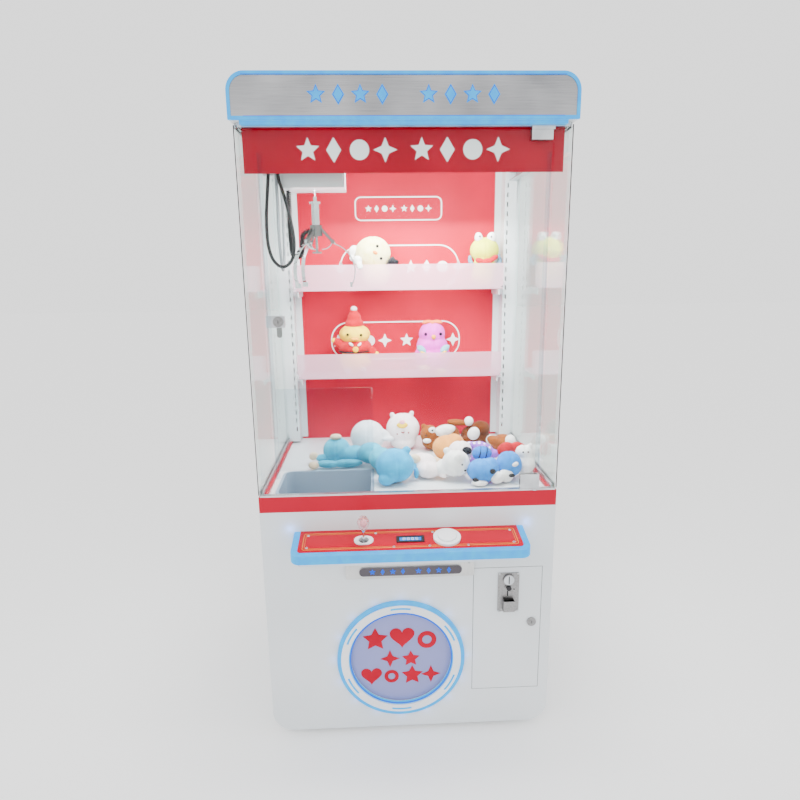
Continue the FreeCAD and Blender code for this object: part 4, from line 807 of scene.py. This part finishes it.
# coin plate: bright entry disc with its slot, return lever, marks
plate_x, plate_z = 0.297, 0.4745
disc = plate_from(48, 0.0155, 0.0008)
fit(disc, "BEVEL", width=0.0003, segments=1)
stand_up(disc, plate_x, depth(-9.1), plate_z + 0.043)
mount(disc, "coin_entry_disc", "coin_door", anodised)
dark_marks = []
for x0, z0, x1, z1 in ((-1.5, 31, 1.5, 56), (-11, 17, 5, 21), (-6, 15, 6, 17), (-4.5, -12, -0.5, 8),
                       (15, 8, 19, 12)):
    proud = -10.1 if z0 > 25 else -3.4
    dark_marks.append(bar((plate_x + x0 * MM, depth(proud - 0.4), plate_z + z0 * MM),
                          (plate_x + x1 * MM, depth(proud), plate_z + z1 * MM), 0.0001))
mount(joined(dark_marks), "coin_plate_marks", "coin_door", black_abs)
for name, lock_x, lock_z in (("coin_lock", 0.371, 0.372), ("glass_lock", -0.345, 1.296)):
    core_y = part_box(name + "_core")[0][1]
    slot = bar((lock_x - 0.0008, core_y - 0.0004, lock_z - 0.0042),
               (lock_x + 0.0008, core_y - 0.0001, lock_z + 0.0042), 0.0001)
    mount(slot, name + "_keyhole", name, black_abs)

# dark strip set into the gaps round the coin door: painted shade that makes the gap lines read dark
gap_lo, gap_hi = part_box("coin_door")
gap_shade_strip = round_strip(gap_hi[0] - gap_lo[0] + 0.0028, gap_hi[2] - gap_lo[2] + 0.0028, 0.0008, 0.0013,
                   0.0008, 2)
stand_up(gap_shade_strip, (gap_lo[0] + gap_hi[0]) / 2, depth(1.2), (gap_lo[2] + gap_hi[2]) / 2)
mount(gap_shade_strip, "coin_door_gap_shade", "cabinet", gap_shade_rubber)


# ---- showcase edges and seals ----
door_lo, door_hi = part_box("glass_door")
seals = []
for x, side in ((door_lo[0], -1), (door_hi[0], 1)):
    for wide, deep, shift in ((0.011, 0.0035, 0.0), (0.003, 0.0075, 0.004)):
        low_x = x + side * (shift - 0.009) - wide / 2
        seals.append(bar((low_x, door_lo[1] - deep, door_lo[2] + 0.048),
                         (low_x + wide, door_lo[1] - 0.0002, door_hi[2] - 0.052), 0.0008))
mount(joined(seals), "door_edge_seals", "glass_door", clear_acrylic)
edges = []
glass_lo, glass_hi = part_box("fixed_glass")
for side in (-1, 1):
    x0, x1 = sorted((side * 0.4278, side * 0.4299))
    edges.append(bar((x0, depth(0.3), glass_lo[2] + 0.001), (x1, depth(4), glass_hi[2] - 0.002), 0.0004))
mount(joined(edges), "glass_corner_edges", "cabinet", black_abs)


# ---- plush toys ----
def ball(place, size, turn=(0, 0, 0)):
    """Stuffed lobe: a ball squeezed to three radii, turned and placed."""
    piece = added(bpy.ops.mesh.primitive_uv_sphere_add, segments=32, ring_count=16, radius=1)
    spin = Euler([math.radians(a) for a in turn])
    piece.data.transform(Matrix.LocRotScale(Vector(place), spin, Vector(size)))
    return piece


lumps = bpy.data.textures.new("stuffing lumps", "CLOUDS")
lumps.noise_scale = 0.045
VOXEL = 0.0032
UPPER_SHELF, LOWER_SHELF, DECK = 1361, 1052, 790       # where the toys rest, in millimetres


def lobes_at(seat, lobes):
    """Lobes of one colour, given in millimetres from the toy's seat."""
    made = []
    for dx, dy, dz, rx, ry, rz, *turn in lobes:
        place = ((seat[0] + dx) * MM, depth(seat[1] + dy), (seat[2] + dz) * MM)
        made.append(ball(place, (rx * MM, ry * MM, rz * MM), turn[0] if turn else (0, 0, 0)))
    return joined(made) if len(made) > 1 else made[0]


def stuffed(name, material, seat, lobes, seam=None, voxel=VOXEL):
    """One colour of a plush toy: its lobes grown together, lumpy with stuffing, a seam drawn in."""
    piece = lobes_at(seat, lobes)
    fit(piece, "REMESH", mode="VOXEL", voxel_size=voxel)
    fit(piece, "SMOOTH", factor=0.5, iterations=5)
    fit(piece, "DISPLACE", texture=lumps, texture_coords="LOCAL", strength=0.0035, mid_level=0.5)
    floor_z = (seat[2] + 0.4) * MM
    mesh = piece.data
    normals = [corner.normal.copy() for corner in mesh.vertices]
    for corner, normal in zip(mesh.vertices, normals):
        if seam is not None:
            off = (corner.co.x - (seat[0] + seam) * MM) / 0.0030
            corner.co -= normal * 0.0019 * math.exp(-off * off)
        if corner.co.z < floor_z:
            corner.co.z = floor_z
    mount(piece, name, "cabinet", material, 180)
    return piece


def beads(name, material, seat, lobes):
    """Small hard pieces sewn to a toy: eyes, beaks, buttons."""
    piece = lobes_at(seat, lobes)
    fit(piece, "REMESH", mode="VOXEL", voxel_size=0.0009)
    fit(piece, "SMOOTH", factor=0.5, iterations=2)
    return mount(piece, name, "cabinet", material, 180)


cream_pile = plush_pile("cream polyester pile", "#fff7c4", "#f1e48e")
white_pile = plush_pile("white polyester pile", "#fbfaf8", "#e6e5e4")
blush_pile = plush_pile("blush-white polyester pile", "#fbeff0", "#eedfe2")
silver_pile = plush_pile("pale grey polyester pile", "#e6e8ee", "#d2d5dd")
yellow_pile = plush_pile("yellow polyester pile", "#ffd93a", "#f0b81f")
lime_pile = plush_pile("lime polyester pile", "#e9ec4e", "#cfd62f")
red_pile = plush_pile("red polyester pile", "#cc1428", "#a90c1d")
orange_pile = plush_pile("orange polyester pile", "#ff8a4a", "#ee6f33")
magenta_pile = plush_pile("magenta polyester pile", "#ee4fd6", "#d93cc2")
turquoise_pile = plush_pile("turquoise polyester pile", "#00b2e8", "#0094cc")
aqua_pile = plush_pile("pale turquoise polyester pile", "#3fc0de", "#24a2c6")
sky_pile = plush_pile("sky blue polyester pile", "#2a90e6", "#1a76cc")
slate_pile = plush_pile("slate blue polyester pile", "#6d97b4", "#557f9d")
brown_pile = plush_pile("brown polyester pile", "#9c5624", "#7d4119")
cocoa_pile = plush_pile("dark brown polyester pile", "#6d3617", "#53280f")
tan_pile = plush_pile("orange-tan polyester pile", "#e9a253", "#d4883d")
beige_pile = plush_pile("beige polyester pile", "#f3dcc0", "#e4c6a3")
black_pile = plush_pile("black polyester pile", "#2a2b30", "#17181b")
dotted_violet = plush_pile("violet pile with white dots", "#a763dc", "#8f4dc8", "#f8f2ff")
dotted_red = plush_pile("red pile with white dots", "#cc1428", "#b01020", "#fff4f4")

# upper shelf, left: a round cream bird lying on its side
seat = (-75, 560, UPPER_SHELF)
first = stuffed("cream_bird_body", cream_pile, seat, [(-14, 0, 124, 63, 56, 57), (-52, 4, 96, 30, 30, 30),
    (-6, 0, 50, 50, 46, 46)], seam=-14)
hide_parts("plush_on_shelves")
stuffed("cream_bird_wings", white_pile, seat, [(-82, 0, 132, 17, 13, 21, (0, 18, 0)),
    (-86, 0, 108, 13, 12, 13), (-66, -62, 98, 15, 12, 18, (20, -20, 0)),
    (-60, -72, 80, 11, 8, 14, (10, -25, 0))])
beads("cream_bird_eyes", black_abs, seat, [(2, -52, 146, 5.5, 3, 5.5), (14, -55, 104, 5.5, 3, 5.5)])
beads("cream_bird_beak", gloss_plastic("orange moulded plastic", "#ff9a3c", "#f2842a"), seat,
    [(-6, -56, 124, 9, 7, 6, (0, 30, 0))])
stuffed("cream_bird_cap", black_pile, seat, [(48, -14, 94, 10, 26, 20, (0, 35, 0)),
    (60, -18, 92, 18, 13, 11)])

# upper shelf, right: a lime toy with stalk eyes
seat = (305, 560, UPPER_SHELF)
stuffed("lime_toy_body", lime_pile, seat, [(4, 0, 130, 52, 47, 44), (2, -6, 78, 41, 38, 30),
    (0, 0, 44, 40, 40, 40)], seam=3)
stuffed("lime_toy_eye_stalks", white_pile, seat, [(-20, -14, 172, 14, 13, 19, (0, -12, 0)),
    (26, -14, 170, 17, 14, 21, (0, 12, 0))])
beads("lime_toy_pupils", black_abs, seat, [(-18, -28, 176, 3, 2, 4), (22, -29, 174, 3, 2, 4)])
stuffed("lime_toy_mouth", red_pile, seat, [(-18, -38, 92, 18, 11, 10, (0, 18, 0)), (8, -41, 91, 20, 11, 10),
    (32, -36, 101, 18, 11, 9, (0, -32, 0))])
stuffed("lime_toy_wings", slate_pile, seat, [(-50, -10, 98, 7, 14, 16), (-46, -18, 84, 7, 12, 10),
    (56, -8, 88, 9, 14, 18, (0, 20, 0)), (52, -20, 106, 6, 10, 10)])

# lower shelf, left: a yellow chick in a red jacket and a pointed hat
seat = (-162, 560, LOWER_SHELF)
stuffed("chick_body", yellow_pile, seat, [(0, 0, 50, 57, 52, 46), (0, 0, 146, 57, 48, 38)])
stuffed("chick_jacket", red_pile, seat, [(0, 0, 102, 62, 55, 32), (-56, -8, 116, 26, 20, 17, (0, 30, 0)),
    (58, -8, 88, 24, 18, 16, (0, 28, 0))], seam=0)
stuffed("chick_belt", black_pile, seat, [(0, 0, 86, 63.5, 56.5, 5)])
stuffed("chick_paws", yellow_pile, seat, [(-76, -10, 126, 10, 10, 10), (78, -12, 76, 10, 10, 9)])
stuffed("chick_hat", red_pile, seat, [(0, 0, 184, 34, 32, 22), (0, 0, 206, 25, 24, 24),
    (0, 0, 222, 15, 15, 18)])
stuffed("chick_pompom", white_pile, seat, [(0, -2, 238, 12, 12, 10)])
beads("chick_eyes", black_abs, seat, [(-23, -45, 150, 5, 3, 5), (24, -45, 148, 5, 3, 5)])
beads("chick_beak", gloss_plastic("yellow moulded plastic", "#ffb52e", "#f59f1c"), seat,
    [(2, -52, 134, 15, 9, 6)])
beads("chick_medal", gloss_plastic("gold moulded plastic", "#f2c12e", "#e0a81c"), seat,
    [(4, -58, 98, 11, 4, 11)])
stuffed("chick_collar", white_pile, seat, [(-12, -52, 116, 11, 8, 6, (0, 40, 0)),
    (18, -52, 115, 11, 8, 6, (0, -40, 0))])
stuffed("chick_feet", silver_pile, seat, [(-26, -48, 22, 13, 12, 11), (28, -48, 22, 13, 12, 11)])

# lower shelf, right: a magenta pear-shaped bird
seat = (121, 560, LOWER_SHELF)
stuffed("magenta_bird_body", magenta_pile, seat, [(0, 0, 62, 66, 52, 55), (0, 0, 100, 58, 48, 44),
    (0, 0, 142, 48, 42, 46)], seam=0)
stuffed("magenta_bird_bow", orange_pile, seat, [(-20, -10, 188, 19, 10, 7, (0, -8, 0)),
    (20, -10, 188, 19, 10, 7, (0, 8, 0)), (0, -12, 185, 8, 9, 8)])
stuffed("magenta_bird_wings", plush_pile("pale blue polyester pile", "#8cc3d8", "#74adc4"), seat,
    [(-42, -42, 92, 22, 7, 13, (0, 42, 0)), (42, -42, 92, 22, 7, 13, (0, -42, 0))])
stuffed("magenta_bird_wing_spots", dotted_red, seat, [(-32, -48, 66, 15, 7, 13, (0, 40, 0)),
    (33, -48, 66, 15, 7, 13, (0, -40, 0))])
stuffed("magenta_bird_wing_edges", yellow_pile, seat, [(-36, -49, 79, 14, 5, 5, (0, 35, 0)),
    (37, -49, 79, 14, 5, 5, (0, -35, 0))], voxel=0.002)
beads("magenta_bird_eyes", black_abs, seat, [(-26, -36, 146, 6, 3, 6), (28, -36, 146, 6, 3, 6)])
beads("magenta_bird_beak", bpy.data.materials["yellow moulded plastic"], seat, [(2, -44, 136, 8, 8, 9)])
stuffed("magenta_bird_feet", cream_pile, seat, [(-30, -46, 24, 22, 16, 11), (28, -48, 12, 20, 16, 11)])

# deck: a turquoise bear lying from front right to back left
seat = (-36, 118, DECK)
first = stuffed("turquoise_bear_head", turquoise_pile, seat, [(0, 0, 54, 60, 54, 53),
    (36, 0, 102, 13, 9, 13), (-10, -48, 42, 11, 8, 11), (-26, -30, 22, 26, 24, 20)], seam=8)
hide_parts("plush_on_deck")
stuffed("turquoise_bear_arm", turquoise_pile, seat, [(60, 28, 40, 9, 22, 9, (0, 0, -25)),
    (66, 4, 26, 9, 10, 20)])
stuffed("turquoise_bear_body", aqua_pile, seat, [(-40, 104, 42, 40, 46, 36), (-74, 160, 44, 44, 40, 36),
    (-130, 190, 34, 44, 30, 28), (-190, 204, 44, 46, 42, 44)], seam=-190)
stuffed("turquoise_bear_limbs", aqua_pile, seat, [(-150, 142, 17, 52, 13, 14, (0, 0, 4)),
    (-216, 140, 16, 40, 12, 13, (0, 0, -8)), (-236, 188, 22, 26, 13, 14)])
stuffed("turquoise_bear_hands", beige_pile, seat, [(-262, 132, 16, 18, 12, 14), (-266, 190, 28, 17, 12, 15),
    (-190, 196, 92, 20, 14, 11), (66, 40, 60, 18, 12, 16)])

seat = (-115, 420, DECK)
stuffed("grey_toy_head", silver_pile, seat, [(-6, 0, 62, 62, 52, 58), (44, -14, 72, 34, 15, 20, (0, 28, 0)),
    (66, -26, 58, 20, 12, 10)], seam=-8)

seat = (5, 455, DECK)
stuffed("white_toy_head", blush_pile, seat, [(0, -4, 76, 60, 45, 60), (-38, -4, 130, 9, 8, 10),
    (32, -4, 134, 9, 8, 10), (0, 0, 34, 50, 44, 32)], seam=0)
stuffed("white_toy_patch", yellow_pile, seat, [(-4, -44, 102, 21, 6, 10), (-4, -46, 96, 14, 5, 6)],
    voxel=0.002)
stuffed("white_toy_patch_top", plush_pile("pink polyester pile", "#ffb3c4", "#f79db1"), seat,
    [(-4, -45, 112, 11, 6, 9)], voxel=0.002)
beads("white_toy_face", gloss_plastic("red sewn floss", "#a8302c", "#94241f", 0.7, 0.0), seat,
    [(-22, -46, 70, 3, 2, 3), (18, -47, 74, 3, 2, 3), (-5, -49, 76, 5, 2, 2, (0, 40, 0)),
    (1, -49, 76, 5, 2, 2, (0, -40, 0))])

seat = (128, 440, DECK)
stuffed("brown_bear", brown_pile, seat, [(-30, -14, 62, 32, 30, 34, (0, 15, 0)), (-50, -12, 92, 9, 8, 9),
    (34, 6, 50, 50, 42, 42), (74, -4, 100, 42, 13, 12, (0, 6, 0)), (-12, 0, 30, 44, 38, 28)], seam=34)
stuffed("brown_bear_patches", white_pile, seat, [(-22, -38, 84, 14, 8, 12), (-40, -42, 46, 16, 8, 9),
    (24, -26, 78, 40, 18, 20, (0, -12, 0)), (112, -6, 104, 17, 16, 18)])
beads("brown_bear_eyes", black_abs, seat, [(-22, -45, 84, 3.5, 2.5, 3.5), (-44, -43, 66, 3.5, 2.5, 3.5)])

seat = (248, 440, DECK)
stuffed("cocoa_bear", cocoa_pile, seat, [(18, 6, 46, 52, 42, 42), (34, -12, 80, 34, 28, 26),
    (0, -24, 34, 40, 30, 26)], seam=18)
stuffed("cocoa_bear_paws", white_pile, seat, [(4, -46, 70, 22, 17, 24, (0, 20, 0)),
    (66, -40, 44, 17, 15, 17)])

seat = (350, 360, DECK)
stuffed("cocoa_bear_legs", brown_pile, seat, [(0, 0, 38, 42, 40, 36),
    (-30, -18, 54, 34, 18, 18, (0, 25, 0))])
stuffed("cocoa_bear_feet", white_pile, seat, [(18, -32, 62, 19, 15, 19), (34, -36, 30, 18, 14, 18)])

seat = (150, 310, DECK)
stuffed("tan_toy_body", tan_pile, seat, [(0, 0, 46, 52, 46, 44), (22, 8, 62, 34, 34, 30)], seam=4)
stuffed("tan_toy_feet", beige_pile, seat, [(-46, -34, 14, 15, 13, 13), (-30, -44, 12, 13, 12, 11)])

seat = (252, 244, DECK)
stuffed("dotted_cloth", dotted_violet, seat, [(0, 0, 58, 44, 24, 26, (15, 18, 0)),
    (-36, -4, 74, 17, 14, 15), (40, -6, 44, 20, 16, 14), (0, 4, 28, 44, 34, 26)])

seat = (60, 210, DECK)
stuffed("blush_toy_body", blush_pile, seat, [(-6, -20, 34, 46, 50, 32), (10, -66, 28, 38, 34, 26),
    (46, -78, 24, 13, 34, 13, (10, 0, 24))], seam=0)

seat = (152, 124, DECK)
stuffed("white_bear_head", white_pile, seat, [(0, 0, 54, 43, 42, 42), (-34, 14, 34, 30, 32, 28),
    (8, -34, 82, 17, 9, 17, (0, 20, 0)), (-26, 10, 92, 12, 9, 11)], seam=4)
beads("white_bear_nose", black_abs, seat, [(24, -36, 42, 4, 3, 3), (14, -39, 62, 3, 2.5, 3)])

seat = (176, 200, DECK)
stuffed("patched_dog_head", blush_pile, seat, [(0, 0, 68, 39, 32, 34), (-10, 0, 30, 32, 28, 28)], seam=0)
stuffed("patched_dog_ear", black_pile, seat, [(18, -27, 78, 17, 8, 14, (0, 12, 0))])
beads("patched_dog_eye", black_abs, seat, [(-10, -31, 78, 3, 2.5, 3)])

seat = (238, 154, DECK)
stuffed("striped_ball_blue", plush_pile("deep blue polyester pile", "#1f78d2", "#1563b5"), seat,
    [(0, 0, 74, 32, 24, 24)])
stuffed("striped_ball_bands", black_pile, seat, [(-10, 0, 75, 4.5, 25.5, 24.5, (0, 14, 0)),
    (10, 0, 74, 4.5, 25.3, 24, (0, 14, 0))], voxel=0.002)

seat = (236, 96, DECK)
stuffed("sky_toy_one", sky_pile, seat, [(-6, 0, 38, 48, 40, 36), (20, 10, 44, 30, 30, 30)], seam=-6)
stuffed("sky_toy_one_belly", white_pile, seat, [(34, -20, 22, 22, 22, 18), (-20, -30, 10, 26, 16, 9)])
stuffed("sky_toy_one_eyes", black_pile, seat, [(18, -33, 46, 11, 6, 9),
    (-32, -33, 20, 12, 6, 7, (0, 20, 0))], voxel=0.002)

seat = (314, 112, DECK)
stuffed("sky_toy_two", sky_pile, seat, [(0, 0, 50, 40, 36, 42), (-4, 14, 30, 34, 30, 28)], seam=0)
stuffed("sky_toy_two_belly", white_pile, seat, [(-14, -26, 24, 24, 17, 22),
    (12, -30, 60, 13, 8, 8, (0, -20, 0))])
stuffed("sky_toy_two_eye", black_pile, seat, [(0, -40, 28, 11, 5, 6)], voxel=0.002)

seat = (372, 152, DECK)
stuffed("white_toy_sitting", white_pile, seat, [(2, 0, 38, 32, 32, 36), (-2, 0, 76, 26, 24, 22),
    (18, 0, 96, 8, 7, 9)], seam=0)
beads("white_toy_sitting_eyes", black_abs, seat, [(-10, -22, 82, 3, 2.5, 3), (6, -23, 82, 3, 2.5, 3)])

seat = (352, 236, DECK)
stuffed("red_cushion", red_pile, seat, [(-22, -8, 62, 30, 15, 24, (0, -25, 0)),
    (18, -8, 62, 30, 15, 24, (0, 25, 0)), (-2, -8, 40, 28, 15, 24)], seam=-2)
stuffed("red_cushion_back", white_pile, seat, [(0, 14, 34, 40, 22, 32)])
